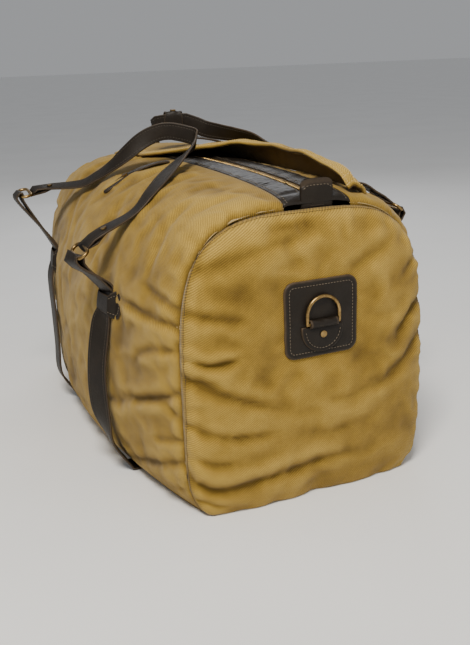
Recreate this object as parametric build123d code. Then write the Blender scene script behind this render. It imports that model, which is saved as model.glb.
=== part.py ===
from build123d import *
import os
from math import cos, sin, acos, asin, pi, radians, degrees, atan2, hypot

os.makedirs("parts", exist_ok=True)

# A canvas duffel bag with leather straps, in millimetres. X runs along the bag, -Y is the
# front, +Z is up. The origin is on the ground under the middle of the bag.

# ---- the canvas body ----
bag_length = 610.0       # seam to seam between the two end panels
end_width = 330.0        # width of the bag at an end seam
end_height = 360.0       # height of the bag at an end seam
belly_swell = 48.0       # how much further each side stands out in the middle
crown_swell = 27.0       # how much higher the top stands in the middle
belt_height = 140.0      # height of the widest line of the sides
base_drop = 160.0        # depth of the lower curve below the widest line, cut off by the ground
end_bulge = 28.0         # how far an end panel is pushed out by what is inside
canvas = 2.5             # doubled canvas wall
seam_allowance = 9.0     # bound seam turned in at each end

# ---- mouth and zipper ----
mouth_half = 45.0        # from the zipper line to the canvas edge on each side
zip_y = 18.0             # the zipper line lies behind the middle of the bag
lip_half_length = 232.0  # each side of the mouth opens over this much of its length
lip_end_gap = 1.0
facing_thick = 2.0
tape_width = 22.0
tape_thick = 1.2
sheet_gap = 0.25         # between two sheets that lie on each other
tooth_pitch = 8.0
tooth_reach = 3.2
tooth_depth = 1.8        # depth of the gaps between teeth, as a share of their reach
tooth_band = 2.0         # solid edge that joins the teeth of a row
tooth_thick = 4.0
tooth_stand = 0.6        # the teeth stand this far above the canvas
facing_set_back = 8.0    # from the zipper line to the edge of the leather facing
tooth_gap = 0.4
lip_gap = 0.4            # between a hinged lip and the canvas beside it
slider_length = 17.0
slider_width = 11.0
slider_thick = 3.2
slider_inset = 20.0      # centre of the parked slider from the end of the moving lips
slider_float = 0.5       # under the slider, above the teeth
loop_rise = 3.1          # the pin of the pull above the slider
loop_r = 1.0
ear_top = 1.8            # the ears above the pin
pull_length = 34.0
pull_width = 12.0
pull_thick = 2.4
end_tab_width = 44.0
end_tab_height = 34.0
end_tab_thick = 6.0

# ---- storm flap ----
flap_seam_y = 94.0
flap_hem_closed_y = -50.0   # where the hem lies on the closed half
flap_hem_open_y = 70.0      # where the hem stands on the lifted half
flap_half_length = 288.0
flap_thick = 3.0
flap_hem_clear = 3.6        # middle of the flap above the canvas at the hem
flap_zip_clear = 12.5       # and over the zipper, its slider and pull
flap_lift = 25.0            # extra height of the hem on the lifted half
flap_end_lift = 11.0
tab_length = 108.0
tab_width = 15.0
tab_thick = 3.0
tab_x = -26.0
tab_root_y = -46.0
tab_clear = 0.6
stud_r = 4.5
stud_height = 2.6

# ---- girth straps, rings and handles ----
girth_width = 32.0
girth_thick = 3.0
girth_x = 145.0
channel_gap = 0.4
ring_wire_r = 2.3
ring_inner_length = 34.0
ring_inner_height = 11.0
fold_wall = 3.0
bar_gap = 0.05             # running clearance round a bar held in a leather fold
handle_width = 25.0
handle_thick = 3.5
rivet_r = 4.0
rivet_head = 1.6
keeper_width = 52.0
keeper_height = 32.0
keeper_wall = 2.6
keeper_z = 238.0
keeper_gap = 5.0           # room for the bowed strap under its keeper
wrap_length = 26.0
wrap_wall = 2.4
wrap_gap = 1.6

# ---- end patches and D-rings ----
patch_y = 5.0
patch_z = 235.0
patch_width = 98.0
patch_height = 94.0
patch_corner = 13.0
patch_thick = 2.4
chape_r = 28.0
chape_z = 222.0
chape_wall = 3.6
chape_top = 10.0
dring_r = 21.5
dring_leg = 11.0
dring_wire_r = 2.2
chape_rivet_r = 4.2

end_sink = 12.0           # the end outline starts this far under the ground and is cut there
upper_points = 7          # points along the upper part of each side
lower_points = 4
end_tip = 0.22            # share of the end section left flat at the top of the bulge


def power(value, exponent):
    """Power that keeps its sign."""
    return abs(value) ** exponent * (1 if value >= 0 else -1)


def swell(x, exponent):
    """0 at the end seams, 1 in the middle of the bag."""
    return max(cos(pi * x / bag_length), 0.0) ** exponent


def shape_at(x, inset):
    """Half width, rise above and drop below the widest line, and corner sharpness."""
    side = swell(x, 0.8)
    crown = swell(x, 0.3)
    half = end_width / 2 + belly_swell * side - inset
    rise = end_height + crown_swell * crown - belt_height - inset
    drop = base_drop - inset
    sharp = 3.6 - 1.0 * side
    return half, rise, drop, sharp


def surface_z(x, y, inset=0.0):
    """Height of the top of the bag over one point."""
    half, rise, _, sharp = shape_at(x, inset)
    share = min(abs(y) / half, 0.999)
    return belt_height + rise * (1 - share ** sharp) ** (1 / sharp)


def surface_y(x, z, inset=0.0):
    """Half width of the bag at one height."""
    half, rise, drop, sharp = shape_at(x, inset)
    n = sharp if z >= belt_height else 5.0
    share = min(abs(z - belt_height) / (rise if z >= belt_height else drop), 0.999)
    return half * (1 - share ** n) ** (1 / n)


stations = [bag_length * share for share in
            (-0.5, -0.47, -0.42, -0.34, -0.23, -0.12, 0, 0.12, 0.23, 0.34, 0.42, 0.47, 0.5)]


def side_line(x, inset, side, edge, foot):
    """Points down one side of the bag, from the mouth edge to the foot of the wall."""
    half, rise, drop, sharp = shape_at(x, inset)
    start = acos((abs(edge) / half) ** (sharp / 2))
    end = asin(((belt_height - foot) / drop) ** 2.5)
    line = []
    for i in range(upper_points + 1):
        a = start * (1 - i / upper_points)
        line.append((half * cos(a) ** (2 / sharp), belt_height + rise * sin(a) ** (2 / sharp)))
    for i in range(1, lower_points + 1):
        a = end * i / lower_points
        line.append((half * cos(a) ** 0.4, belt_height - drop * sin(a) ** 0.4))
    line[0] = (side * edge, line[0][1])
    return [(side * y, z) for y, z in line]


def loft_of(outlines):
    """Straight-sided solid through outlines given as (x, list of y and z)."""
    wires = [Wire.make_polygon([(x, y, z) for y, z in outline], close=True)
             for x, outline in outlines]
    return Solid.make_loft(wires, True)


def ring(x, inset, foot=0.0):
    """Closed outline of the whole bag at one station."""
    return (side_line(x, inset, -1, front_edge, foot)
            + list(reversed(side_line(x, inset, 1, back_edge, foot))))


def dome_solid(shift):
    """The pushed-out end, filled, moved outwards by a shift."""
    steps = [(0.0, 1.0), (0.3, 0.975), (0.56, 0.92), (0.8, 0.78), (0.95, 0.5), (1.0, end_tip)]
    middle = end_height / 2
    outline = ring(half_l, 0, -end_sink)
    wires = []
    for out, scale in steps:
        x = half_l + shift + end_bulge * out
        wires.append((x, [(y * scale, middle + (z - middle) * scale) for y, z in outline]))
    return loft_of(wires)


def block(x0, x1, y0, y1, z0, z1):
    """Box between two corners."""
    return Pos((x0 + x1) / 2, (y0 + y1) / 2, (z0 + z1) / 2) * Box(x1 - x0, y1 - y0, z1 - z0)


def to_end(part, side):
    """A part made for the near end, or its mirror image for the far end."""
    return part if side > 0 else part.mirror(Plane.YZ)


def save(name, shape):
    """Write one node, with every loose solid of it."""
    solids = shape.solids()
    body = solids[0] if len(solids) == 1 else Compound(children=list(solids))
    export_step(body, f"parts/{name}.step")
    nodes[name] = body


nodes = {}
big = bag_length * 2
half_l = bag_length / 2
front_edge = zip_y - mouth_half
back_edge = zip_y + mouth_half
outer = loft_of([(x, ring(x, 0)) for x in stations])


def wall(side, edge, top_inset, bottom_inset, foot, xs):
    """One side of the bag as a sheet between two depths."""
    return loft_of([(x, side_line(x, top_inset, side, edge, foot)
                     + list(reversed(side_line(x, bottom_inset, side, edge, foot)))) for x in xs])


# The walls: canvas rolled over the top, cut open along the mouth and closed by the base below.
base_top = canvas
front_wall = wall(-1, front_edge, 0, canvas, base_top, stations)
back_wall = wall(1, back_edge, 0, canvas, base_top, stations)

# The base: one reinforced panel, raised into two shallow channels where the straps pass under.
channel_top = girth_thick + channel_gap
foot_front = [(x, -surface_y(x, base_top)) for x in stations]
foot_back = [(x, surface_y(x, base_top)) for x in reversed(stations)]
foot_face = Face(Wire.make_polygon([(x, y, 0) for x, y in foot_front + foot_back], close=True))
base = extrude(foot_face, base_top, dir=(0, 0, 1))
for side in (-1, 1):
    near = girth_x * side - girth_width / 2
    far = girth_x * side + girth_width / 2
    reach = surface_y(girth_x, base_top, canvas) - 5
    base += block(near - 4, far + 4, -reach, reach, 0, channel_top + canvas)
    lower_gap = block(near - channel_gap, far + channel_gap, -big, big, -1, channel_top)
    base -= lower_gap
    front_wall -= lower_gap
    back_wall -= lower_gap
save("front_panel", front_wall)
save("back_panel", back_wall)
save("base_panel", base)

# End panels, pushed out like a pillow, with a bound seam allowance inside each end.
above_ground = block(-big, big, -big, big, 0, big)
shell = (dome_solid(0) - dome_solid(-canvas)) & block(half_l, big, -big, big, 0, big)
binding_xs = (half_l - seam_allowance, half_l - 0.5)
binding_foot = channel_top + canvas + 1
binding_room = block(*binding_xs, -big, big, binding_foot, big)
binding = Compound(children=[
    (wall(side, edge, canvas + sheet_gap, canvas + 2, base_top, stations[-2:]) & binding_room).solid()
    for side, edge in ((-1, front_edge), (1, back_edge))])
patch_outline = Plane.YZ * Pos(patch_y, patch_z) * RectangleRounded(
    patch_width, patch_height, patch_corner)
patch_prism = Pos(half_l - 5, 0, 0) * extrude(patch_outline, end_bulge + 20, dir=(1, 0, 0))
patch = (dome_solid(patch_thick) & patch_prism) - dome_solid(0) - block(-big, half_l, -big, big, 0, big)

# The chape: a stitched half moon of leather, folded round the straight bar of the D-ring.
face_x = half_l + end_bulge + patch_thick
bar_x = face_x + dring_wire_r + bar_gap + 1.6
moon = Plane.YZ * (Pos(patch_y, chape_z) * Circle(chape_r)
                   + Pos(patch_y, chape_z + chape_top / 2) * Rectangle(2 * chape_r, chape_top))
moon_area = moon & (Plane.YZ * Pos(patch_y, chape_z + chape_top / 2 - chape_r)
                    * Rectangle(4 * chape_r, chape_top + 2 * chape_r))
bar_z = chape_z + chape_top - 2.0
chape = Pos(half_l, 0, 0) * extrude(moon_area, end_bulge + patch_thick + chape_wall, dir=(1, 0, 0))
fold_r = dring_wire_r + bar_gap + 1.5
fold = Pos(bar_x, patch_y, bar_z) * Rot(90, 0, 0) * Cylinder(fold_r, 2 * chape_r - 18)
chape = chape - dome_solid(patch_thick) - block(0, half_l + patch_thick + 1, -big, big, 0, big)
chape -= block(half_l, big, -big, big, bar_z - fold_r - 0.1, big)
strip = block(face_x - 3, bar_x, patch_y - chape_r + 9, patch_y + chape_r - 9,
              bar_z - fold_r - 4, bar_z)
chape = chape + ((fold + strip) - dome_solid(patch_thick))
bar_hole = Pos(bar_x, patch_y, bar_z) * Rot(90, 0, 0) * Cylinder(dring_wire_r + bar_gap, 4 * chape_r)
chape -= bar_hole
chape_rivet_z = chape_z - 6
chape_face = face_x + chape_wall
chape_rivet = (Pos(chape_face - 1.5, patch_y, chape_rivet_z) * Rot(0, 90, 0) * Cylinder(2, 3)
               + Pos(chape_face + 0.7, patch_y, chape_rivet_z) * Rot(0, 90, 0)
               * Cylinder(chape_rivet_r, 1.4))
chape -= chape_rivet

# The D-ring: a straight bar, two legs and a half ring, standing up against the patch.
bar = Pos(bar_x, patch_y, bar_z) * Rot(90, 0, 0) * Cylinder(dring_wire_r, 2 * dring_r)
arch = Pos(bar_x, patch_y, bar_z + dring_leg) * Rot(0, 90, 0) * Torus(dring_r, dring_wire_r)
arch &= block(0, big, -big, big, bar_z + dring_leg, big)
dring = bar + arch
for side in (-1, 1):
    leg_y = patch_y + dring_r * side
    dring += Pos(bar_x, leg_y, bar_z + dring_leg / 2) * Cylinder(dring_wire_r, dring_leg)
    dring += Pos(bar_x, leg_y, bar_z) * Sphere(dring_wire_r)
for side, word in ((1, "near"), (-1, "far")):
    save(f"end_panel_{word}", to_end(shell, side))
    save(f"seam_binding_{word}", to_end(binding, side))
    save(f"end_patch_{word}", to_end(patch, side))
    save(f"dring_chape_{word}", to_end(chape, side))
    save(f"chape_rivet_{word}", to_end(chape_rivet, side))
    save(f"dring_{word}", to_end(dring, side))

# ---- the zipper: leather facing, tape and teeth on each lip ----
def layer(top_inset, bottom_inset, y0, y1, x0, x1):
    """A strip of the crown between two depths."""
    xs = [x0] + [x for x in stations if x0 < x < x1] + [x1]
    ys = [y0 + (y1 - y0) * i / 4 for i in range(5)]
    return loft_of([(x, [(y, surface_z(x, y) - top_inset) for y in ys]
                     + [(y, surface_z(x, y) - bottom_inset) for y in reversed(ys)]) for x in xs])


def comb(side):
    """One row of teeth as a serrated strip, reaching past the zipper line."""
    root = zip_y - side * tooth_depth * tooth_reach
    tip = zip_y + side * tooth_reach / 2
    back_line = root - side * tooth_band
    reach = lip_half_length - lip_end_gap
    count = int(2 * reach / tooth_pitch) - 1
    shift = 0 if side > 0 else tooth_pitch / 2
    half = (tooth_pitch / 2 - tooth_gap) / 2
    outline = [(reach, root), (reach, back_line), (-reach, back_line), (-reach, root)]
    for i in range(count):
        x = -lip_half_length + tooth_pitch * (i + 0.75) + shift
        outline += [(x - half, root), (x - half, tip), (x + half, tip), (x + half, root)]
    face = Face(Wire.make_polygon([(x, y, end_height / 2) for x, y in outline], close=True))
    return extrude(face, end_height, dir=(0, 0, 1))


def lip_layer(top_inset, bottom_inset, y0, y1):
    """A strip of one moving lip."""
    return layer(top_inset, bottom_inset, y0, y1,
                 -lip_half_length + lip_end_gap, lip_half_length - lip_end_gap)


teeth_sheet = layer(-tooth_stand, tooth_thick - tooth_stand, zip_y - tape_width, zip_y + tape_width,
                    -lip_half_length, lip_half_length)
for side, word in ((1, "front"), (-1, "back")):
    edge = (front_edge if side > 0 else back_edge) + side * lip_gap
    inner_line = zip_y - side * facing_set_back
    teeth_root = zip_y - side * (tooth_depth * tooth_reach + tooth_band)
    tape_out = zip_y - side * tape_width
    save(f"zip_facing_{word}", lip_layer(0, facing_thick, *sorted((edge, inner_line))))
    tape_top = facing_thick + sheet_gap
    save(f"zip_tape_{word}", lip_layer(tape_top, tape_top + tape_thick,
                                       *sorted((tape_out, teeth_root))))
    save(f"zip_teeth_{word}", comb(side) & teeth_sheet)

# The mouth runs out at each end in a fixed leather gusset that holds the ends of the zipper.
for side, word in ((1, "near"), (-1, "far")):
    x0, x1 = sorted((side * (lip_half_length + lip_end_gap), side * half_l))
    gusset = layer(0, facing_thick, front_edge, back_edge, x0, x1)
    save(f"mouth_gusset_{word}", gusset)
    tab_face = side * (half_l - 1)
    tab_back = side * (half_l - 1 - end_tab_thick)
    x0, x1 = sorted((tab_face, tab_back))
    tab = block(x0, x1, zip_y - end_tab_width / 2, zip_y + end_tab_width / 2,
                end_height * 0.8, end_height + end_tab_height)
    tab = tab - outer - gusset
    save(f"zip_end_tab_{word}", tab)

# The slider parks at the far end, and its pull lies flat behind it.
slider_x = -lip_half_length + slider_inset
slider_z = surface_z(slider_x + slider_length / 2, zip_y) + tooth_stand + slider_float
slider = block(slider_x - slider_length / 2, slider_x + slider_length / 2,
               zip_y - slider_width / 2, zip_y + slider_width / 2, slider_z, slider_z + slider_thick)
loop_x = slider_x + slider_length / 2 - 4
loop_z = slider_z + slider_thick + loop_rise
ears = [block(loop_x - 2.5, loop_x + 2.5, y0, y0 + 2, slider_z + slider_thick, loop_z + ear_top)
        for y0 in (zip_y - slider_width / 2, zip_y + slider_width / 2 - 2)]
slider = slider + ears[0] + ears[1]
slider += Pos(loop_x, zip_y, loop_z) * Rot(90, 0, 0) * Cylinder(loop_r, slider_width - 2)
save("zip_slider", slider)
pull = block(loop_x - 1.9, loop_x + pull_length, zip_y - slider_width / 2 + 2.4,
             zip_y + slider_width / 2 - 2.4, loop_z - 1.6, loop_z + 1.6)
pull -= Pos(loop_x, zip_y, loop_z) * Rot(90, 0, 0) * Cylinder(loop_r + bar_gap, slider_width)
pull += block(loop_x + 8, loop_x + pull_length + 8, zip_y - pull_width / 2, zip_y + pull_width / 2,
              loop_z - pull_thick / 2, loop_z + pull_thick / 2)
save("zip_pull", pull)

# ---- the storm flap, closed at the far half and lifted at the near half ----
def ease(value):
    """Smooth step from 0 to 1."""
    t = min(max(value, 0.0), 1.0)
    return t * t * (3 - 2 * t)


def flap_line(x):
    """Seam, middle and hem of the flap at one station."""
    opened = ease((x + 140) / 230)
    near_end = ease((x - 150) / 140)
    hem_y = flap_hem_closed_y + (flap_hem_open_y - flap_hem_closed_y) * opened
    lift = (flap_lift + (flap_end_lift - flap_lift) * near_end) * opened
    hem_z = surface_z(x, hem_y) + flap_hem_clear + lift
    seam_z = surface_z(x, flap_seam_y) + flap_thick / 2 + 0.3
    points = [(flap_seam_y, seam_z)]
    for share in (0.33, 0.67):
        y = flap_seam_y + (hem_y - flap_seam_y) * share
        z = surface_z(x, y) + flap_zip_clear + lift * share ** 0.7
        points.append((y, z))
    return points + [(hem_y, hem_z)]


def band(line, thick):
    """Closed outline of a bent sheet, from its middle line."""
    upper, lower = [], []
    for i, (y, z) in enumerate(line):
        ahead = line[min(i + 1, len(line) - 1)]
        behind = line[max(i - 1, 0)]
        length = hypot(ahead[0] - behind[0], ahead[1] - behind[1])
        ny = (ahead[1] - behind[1]) / length * thick / 2
        nz = -(ahead[0] - behind[0]) / length * thick / 2
        upper.append((y + ny, z + nz))
        lower.append((y - ny, z - nz))
    return upper + lower[::-1]


flap_stations = [flap_half_length * i / 7 for i in range(-7, 8)]
save("storm_flap", loft_of([(x, band(flap_line(x), flap_thick)) for x in flap_stations]))

# The tab is sewn in at the canvas edge and lies forward over the shoulder, with its snap cap.
tab_line = []
for i in range(7):
    y = tab_root_y - (tab_length * 0.93) * i / 6
    tab_line.append((y, surface_z(tab_x, y) + tab_clear + tab_thick / 2 + 1.4 * (i > 0)))
flap_tab = loft_of([(tab_x + s * tab_width / 2, band(tab_line, tab_thick)) for s in (-1, 1)])
save("flap_tab", flap_tab)
stud_y = tab_line[4][0]
slope = degrees(atan2(tab_line[3][1] - tab_line[5][1], tab_line[3][0] - tab_line[5][0]))
stud_base = tab_line[4][1] + tab_thick / 2 / cos(radians(slope))
stud = Pos(tab_x, stud_y, stud_base) * Rot(slope, 0, 0) * Cylinder(stud_r, 2 * stud_height)
save("tab_snap", (stud - flap_tab).solids().sort_by(Axis.Z)[-1])

# ---- rings, girth straps and handles ----
ring_reach = ring_inner_height + 2 * ring_wire_r     # from one bar to the other, on centres


class Side:
    """Places of the two rings of one handle, and the turning axis through their lower bars."""

    def __init__(self, near, far):
        self.near = Vector(*near)
        self.far = Vector(*far)
        self.along = (self.near - self.far).normalized()


front = Side((girth_x - 3, -236, 303), (-girth_x - 3, -246, 342))
back = Side((girth_x, 240, 312), (-girth_x, 240, 312))


def bar_plane(centre, along, reach):
    """Plane at a ring: x along its bars, y from the lower bar to the upper one."""
    normal = along.cross(reach).normalized()
    return Plane(origin=centre, x_dir=along, z_dir=normal)


def tube_on(plane, x0, x1, y, radius):
    """Cylinder along the plane's x at a height y."""
    return plane * Pos((x0 + x1) / 2, y, 0) * Rot(0, 90, 0) * Cylinder(radius, x1 - x0)


def oval_ring(plane):
    """Two bars joined by half rings."""
    reach = ring_inner_height + 2 * ring_wire_r
    half = ring_inner_length / 2
    straight = half - reach / 2 + ring_wire_r
    ring = tube_on(plane, -straight, straight, 0, ring_wire_r)
    ring += tube_on(plane, -straight, straight, reach, ring_wire_r)
    for side in (-1, 1):
        bend = plane * Pos(side * straight, reach / 2, 0) * Torus(reach / 2, ring_wire_r)
        keep = plane * Pos(side * (straight + reach), reach / 2, 0) * Box(2 * reach, 3 * reach, reach)
        ring += bend & keep
    return ring


fold_r_in = ring_wire_r + bar_gap
fold_r_out = fold_r_in + fold_wall
fold_length = 22.0


def ribbon(points, widths, width, thick):
    """A strap through points, each with the direction its width takes."""
    wires = []
    for i, point in enumerate(points):
        p = Vector(*point)
        ahead = Vector(*points[min(i + 1, len(points) - 1)])
        behind = Vector(*points[max(i - 1, 0)])
        run = (ahead - behind).normalized()
        across = Vector(*widths[i])
        across = (across - run * across.dot(run)).normalized()
        normal = run.cross(across)
        a, b = across * (width / 2), normal * (thick / 2)
        corners = [p + a + b, p - a + b, p - a - b, p + a - b]
        wires.append(Wire.make_polygon(corners, close=True))
    return Solid.make_loft(wires, True)


def eased(points, widths, steps):
    """The same strap with more places between, so that it bends and twists little by little."""
    places = [Vector(*point) for point in points]
    turns = [Vector(*width).normalized() for width in widths]
    last = len(places) - 1
    runs = [(places[min(i + 1, last)] - places[max(i - 1, 0)]).normalized()
            for i in range(last + 1)]
    fine_points, fine_widths = [], []
    for i in range(last):
        span = (places[i + 1] - places[i]).length
        for k in range(steps):
            t = k / steps
            point = places[i] * (2 * t**3 - 3 * t**2 + 1) + places[i + 1] * (3 * t**2 - 2 * t**3)
            point += runs[i] * (span * (t**3 - 2 * t**2 + t)) + runs[i + 1] * (span * (t**3 - t**2))
            fine_points.append(tuple(point))
            fine_widths.append(tuple(turns[i] * (1 - t) + turns[i + 1] * t))
    return fine_points + [points[last]], fine_widths + [widths[last]]


def girth_route(ring, x, side):
    """Middle line of one girth strap run, from its ring down to the ground."""
    y0 = abs(ring.Y)
    low = surface_y(x, 22) + 7
    sag = 20 if x > 0 else 10
    return [
        (x, side * y0, ring.Z - fold_r_out + 1),
        (x, side * (surface_y(x, keeper_z + 26) + 10), keeper_z + 24),
        (x, side * (surface_y(x, keeper_z) + 7), keeper_z),
        (x, side * (surface_y(x, keeper_z - 30) + 12), keeper_z - 30),
        (x, side * (surface_y(x, 150) + sag), 150),
        (x, side * (surface_y(x, 95) + sag), 95),
        (x, side * (surface_y(x, 50) + 13), 50),
        (x, side * low, 22),
        (x, side * (surface_y(x, 8) + 6), 8),
        (x, side * (surface_y(x, base_top) + 4), girth_thick / 2),
    ]


for word, x in (("near", girth_x), ("far", -girth_x)):
    ring_f = front.near if x > 0 else front.far
    ring_b = back.near if x > 0 else back.far
    route_f = girth_route(ring_f, x, -1)
    route_b = girth_route(ring_b, x, 1)
    points = route_f + list(reversed(route_b))
    strap = ribbon(points, [(1, 0, 0)] * len(points), girth_width, girth_thick)
    for ring, along in ((ring_f, front.along), (ring_b, back.along)):
        plane = bar_plane(ring, along, Vector(0, 0, 1))
        strap += tube_on(plane, -fold_length / 2, fold_length / 2, 0, fold_r_out)
        strap -= tube_on(plane, -ring_inner_length, ring_inner_length, 0, fold_r_in)
    save(f"girth_strap_{word}", strap & above_ground)
    for side, name in ((-1, "front"), (1, "back")):
        strap_y = surface_y(x, keeper_z) + 7
        slot = strap_y + girth_thick + keeper_gap
        y0, y1 = sorted((side * (strap_y - 30), side * (slot + keeper_wall)))
        keeper = block(x - keeper_width / 2, x + keeper_width / 2, y0, y1,
                       keeper_z - keeper_height / 2, keeper_z + keeper_height / 2)
        y0, y1 = sorted((side * (strap_y - 40), side * slot))
        keeper -= block(x - girth_width / 2 - 2, x + girth_width / 2 + 2, y0, y1, 0, big)
        save(f"strap_keeper_{name}_{word}", keeper - outer)


strap_steps = 5             # places between two points of a handle's path


def handle(name, ends, near_reach, far_reach, path, widths):
    """A handle strap with its two folded ends, the rings they hold and their rivets."""
    strap = ribbon(*eased(path, widths, strap_steps), handle_width, handle_thick)
    rivets = None
    for word, centre, reach in (("near", ends.near, near_reach), ("far", ends.far, far_reach)):
        plane = bar_plane(centre, ends.along, Vector(*reach))
        save(f"ring_{name}_{word}", oval_ring(plane))
        strap += tube_on(plane, -fold_length / 2, fold_length / 2, ring_reach, fold_r_out)
        strap -= tube_on(plane, -ring_inner_length, ring_inner_length, ring_reach, fold_r_in)
    for i, step in ((1, 1), (len(path) - 2, -1)):
        a, b = Vector(*path[i]), Vector(*path[i + step])
        run = (b - a).normalized()
        across = Vector(*widths[i])
        across = (across - run * across.dot(run)).normalized()
        normal = run.cross(across)
        rivet_plane = Plane(origin=a + run * 4, z_dir=normal)
        rivet = rivet_plane * Cylinder(2, handle_thick + 1.6)
        for face in (-1, 1):
            rivet += rivet_plane * Pos(0, 0, face * (handle_thick + rivet_head) / 2) * Cylinder(
                rivet_r, rivet_head)
        strap -= rivet
        rivets = rivet if rivets is None else rivets + rivet
    save(f"{name}_handle_strap", strap)
    save(f"{name}_handle_rivets", rivets)


def fold_point(centre, along, reach, extra):
    """Point on a handle just past the fold round a ring's upper bar."""
    direction = Vector(*reach)
    direction = (direction - along * direction.dot(along)).normalized()
    return centre + direction * (ring_reach + extra)


reach_fn, reach_ff = (0, 0.80, 0.60), (0, 0.985, 0.17)
flat, edge = (1, 0, 0), (0, 0, 1)
handle("front", front, reach_fn, reach_ff, [
    fold_point(front.near, front.along, reach_fn, fold_r_out - 1),
    fold_point(front.near, front.along, reach_fn, fold_r_out + 24),
    (132, -154, 346), (125, -127, 368), (95, -92, 387), (55, -54, 402), (20, -23, 412),
    (2, -12, 421), (-12, -24, 427), (-22, -41, 431), (-30, -59, 429), (-38, -80, 419),
    (-48, -101, 402), (-62, -121, 384), (-85, -139, 368), (-110, -160, 355),
    fold_point(front.far, front.along, reach_ff, fold_r_out + 24),
    fold_point(front.far, front.along, reach_ff, fold_r_out - 1),
], [flat, flat, flat, (1, 0.2, 0), (1, 0.5, 0.1), (0.9, 0.5, 0.5), (0.4, 0.3, 0.9), (0, 0.1, 1),
    edge, edge, (0, 0.1, 1), (-0.2, 0.1, 1), (-0.5, 0, 0.8), (-0.8, 0.1, 0.5), (-1, 0.2, 0.35),
    (-1, 0.1, 0.2), (-1, 0, 0), (-1, 0, 0)])
reach_b = (0, -0.80, 0.60)
handle("back", back, reach_b, reach_b, [
    fold_point(back.near, back.along, reach_b, fold_r_out - 1),
    fold_point(back.near, back.along, reach_b, fold_r_out + 24),
    (130, 188, 351), (98, 156, 363), (62, 124, 387), (38, 98, 404), (14, 80, 415), (-14, 61, 420),
    (-40, 46, 423), (-58, 28, 428), (-66, 12, 436), (-69.2, -0.7, 440), (-78.8, -31.3, 440),
    (-86, -41, 436), (-97, -42, 430), (-106, -30, 425), (-112, 0, 418), (-119, 32, 412),
    (-127, 78, 401), (-136, 126, 382), (-142, 168, 362),
    fold_point(back.far, back.along, reach_b, fold_r_out + 24),
    fold_point(back.far, back.along, reach_b, fold_r_out - 1),
], [flat, flat, flat, (1, -0.7, 0), (1, -1, 0), (1, -1, 0.3), (0.6, -0.6, 0.7), (0.35, -0.4, 0.9),
    (0.1, -0.2, 1), edge, edge, edge, edge, edge, edge, (-0.2, -0.2, 1), (-0.8, -0.1, 0.6),
    (-1, 0, 0.15), (-1, 0, 0), (-1, 0, 0), (-1, 0, 0), (-1, 0, 0), (-1, 0, 0)])

# The grip wrap: a leather cuff round the back handle, closed on top by a snap.
wrap_x, wrap_y, wrap_z = -74.0, -16.0, 440.0
wrap_turn = 72.5            # from the length of the bag to the run of the strap
wrap_out_y = handle_thick / 2 + wrap_gap + wrap_wall
wrap_out_z = handle_width / 2 + wrap_gap + wrap_wall
cuff_place = Pos(wrap_x, wrap_y, wrap_z) * Rot(0, 0, wrap_turn)
cuff = cuff_place * Box(wrap_length, 2 * wrap_out_y, 2 * wrap_out_z)
cuff -= cuff_place * Box(
    wrap_length + 2, 2 * (wrap_out_y - wrap_wall), 2 * (wrap_out_z - wrap_wall))
save("handle_wrap", cuff)
save("wrap_snap", Pos(wrap_x, wrap_y, wrap_z + wrap_out_z + 1) * Cylinder(4.2, 2))
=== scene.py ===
import bpy
import numpy as np
from math import cos, sin, pi, radians
from mathutils import Matrix, Vector, noise


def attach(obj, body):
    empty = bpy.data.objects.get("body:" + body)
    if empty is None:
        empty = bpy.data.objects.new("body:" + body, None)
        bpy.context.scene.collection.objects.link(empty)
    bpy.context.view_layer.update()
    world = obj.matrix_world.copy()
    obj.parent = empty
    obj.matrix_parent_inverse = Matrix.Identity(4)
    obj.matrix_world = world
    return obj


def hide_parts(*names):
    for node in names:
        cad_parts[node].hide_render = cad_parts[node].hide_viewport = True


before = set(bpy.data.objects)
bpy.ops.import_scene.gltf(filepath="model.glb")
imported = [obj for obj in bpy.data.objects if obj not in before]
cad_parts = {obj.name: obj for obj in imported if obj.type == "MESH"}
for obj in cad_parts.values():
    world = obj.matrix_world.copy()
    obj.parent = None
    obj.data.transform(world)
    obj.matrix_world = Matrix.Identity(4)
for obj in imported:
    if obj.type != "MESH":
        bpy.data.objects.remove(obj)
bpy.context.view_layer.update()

# The front and back are two widths of washed cotton twill, rolled over the top of the bag and
# down its sides. They are cut open along the mouth and sewn inside out to the end panels, so
# the cloth bulges between its seams and puckers along them.
bag_length, end_width, end_height = 0.610, 0.330, 0.360
belly_swell, crown_swell = 0.048, 0.027
belt_height, base_drop = 0.140, 0.160
half_length = bag_length / 2
mouth_front, mouth_back, zip_y = -0.027, 0.063, 0.018
cloth_thick = 0.0016
cloth_step = 0.0038


def swell(x, power):
    return np.maximum(np.cos(pi * np.asarray(x, float) / bag_length), 0.0) ** power


def bag_shape(x):
    """Half width, rise above and drop below the widest line, and the corner sharpness."""
    side = swell(x, 0.8)
    half = end_width / 2 + belly_swell * side
    rise = end_height + crown_swell * swell(x, 0.3) - belt_height
    return half, rise, 3.6 - side


def top_at(x, y):
    half, rise, sharp = bag_shape(x)
    share = np.minimum(np.abs(y) / half, 0.999)
    return belt_height + rise * (1 - share ** sharp) ** (1 / sharp)


def side_at(x, z):
    half, rise, sharp = bag_shape(x)
    z = np.asarray(z, float)
    power = np.where(z >= belt_height, sharp, 5.0)
    drop = np.where(z >= belt_height, rise, base_drop)
    share = np.minimum(np.abs(z - belt_height) / drop, 0.999)
    return half * (1 - share ** power) ** (1 / power)


def evenly(line, count):
    """A line of points with the same run between each two."""
    run = np.r_[0, np.cumsum(np.linalg.norm(np.diff(line, axis=0), axis=1))]
    at = np.linspace(0, run[-1], count)
    return np.stack([np.interp(at, run, line[:, k]) for k in range(line.shape[1])], 1), at


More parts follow.
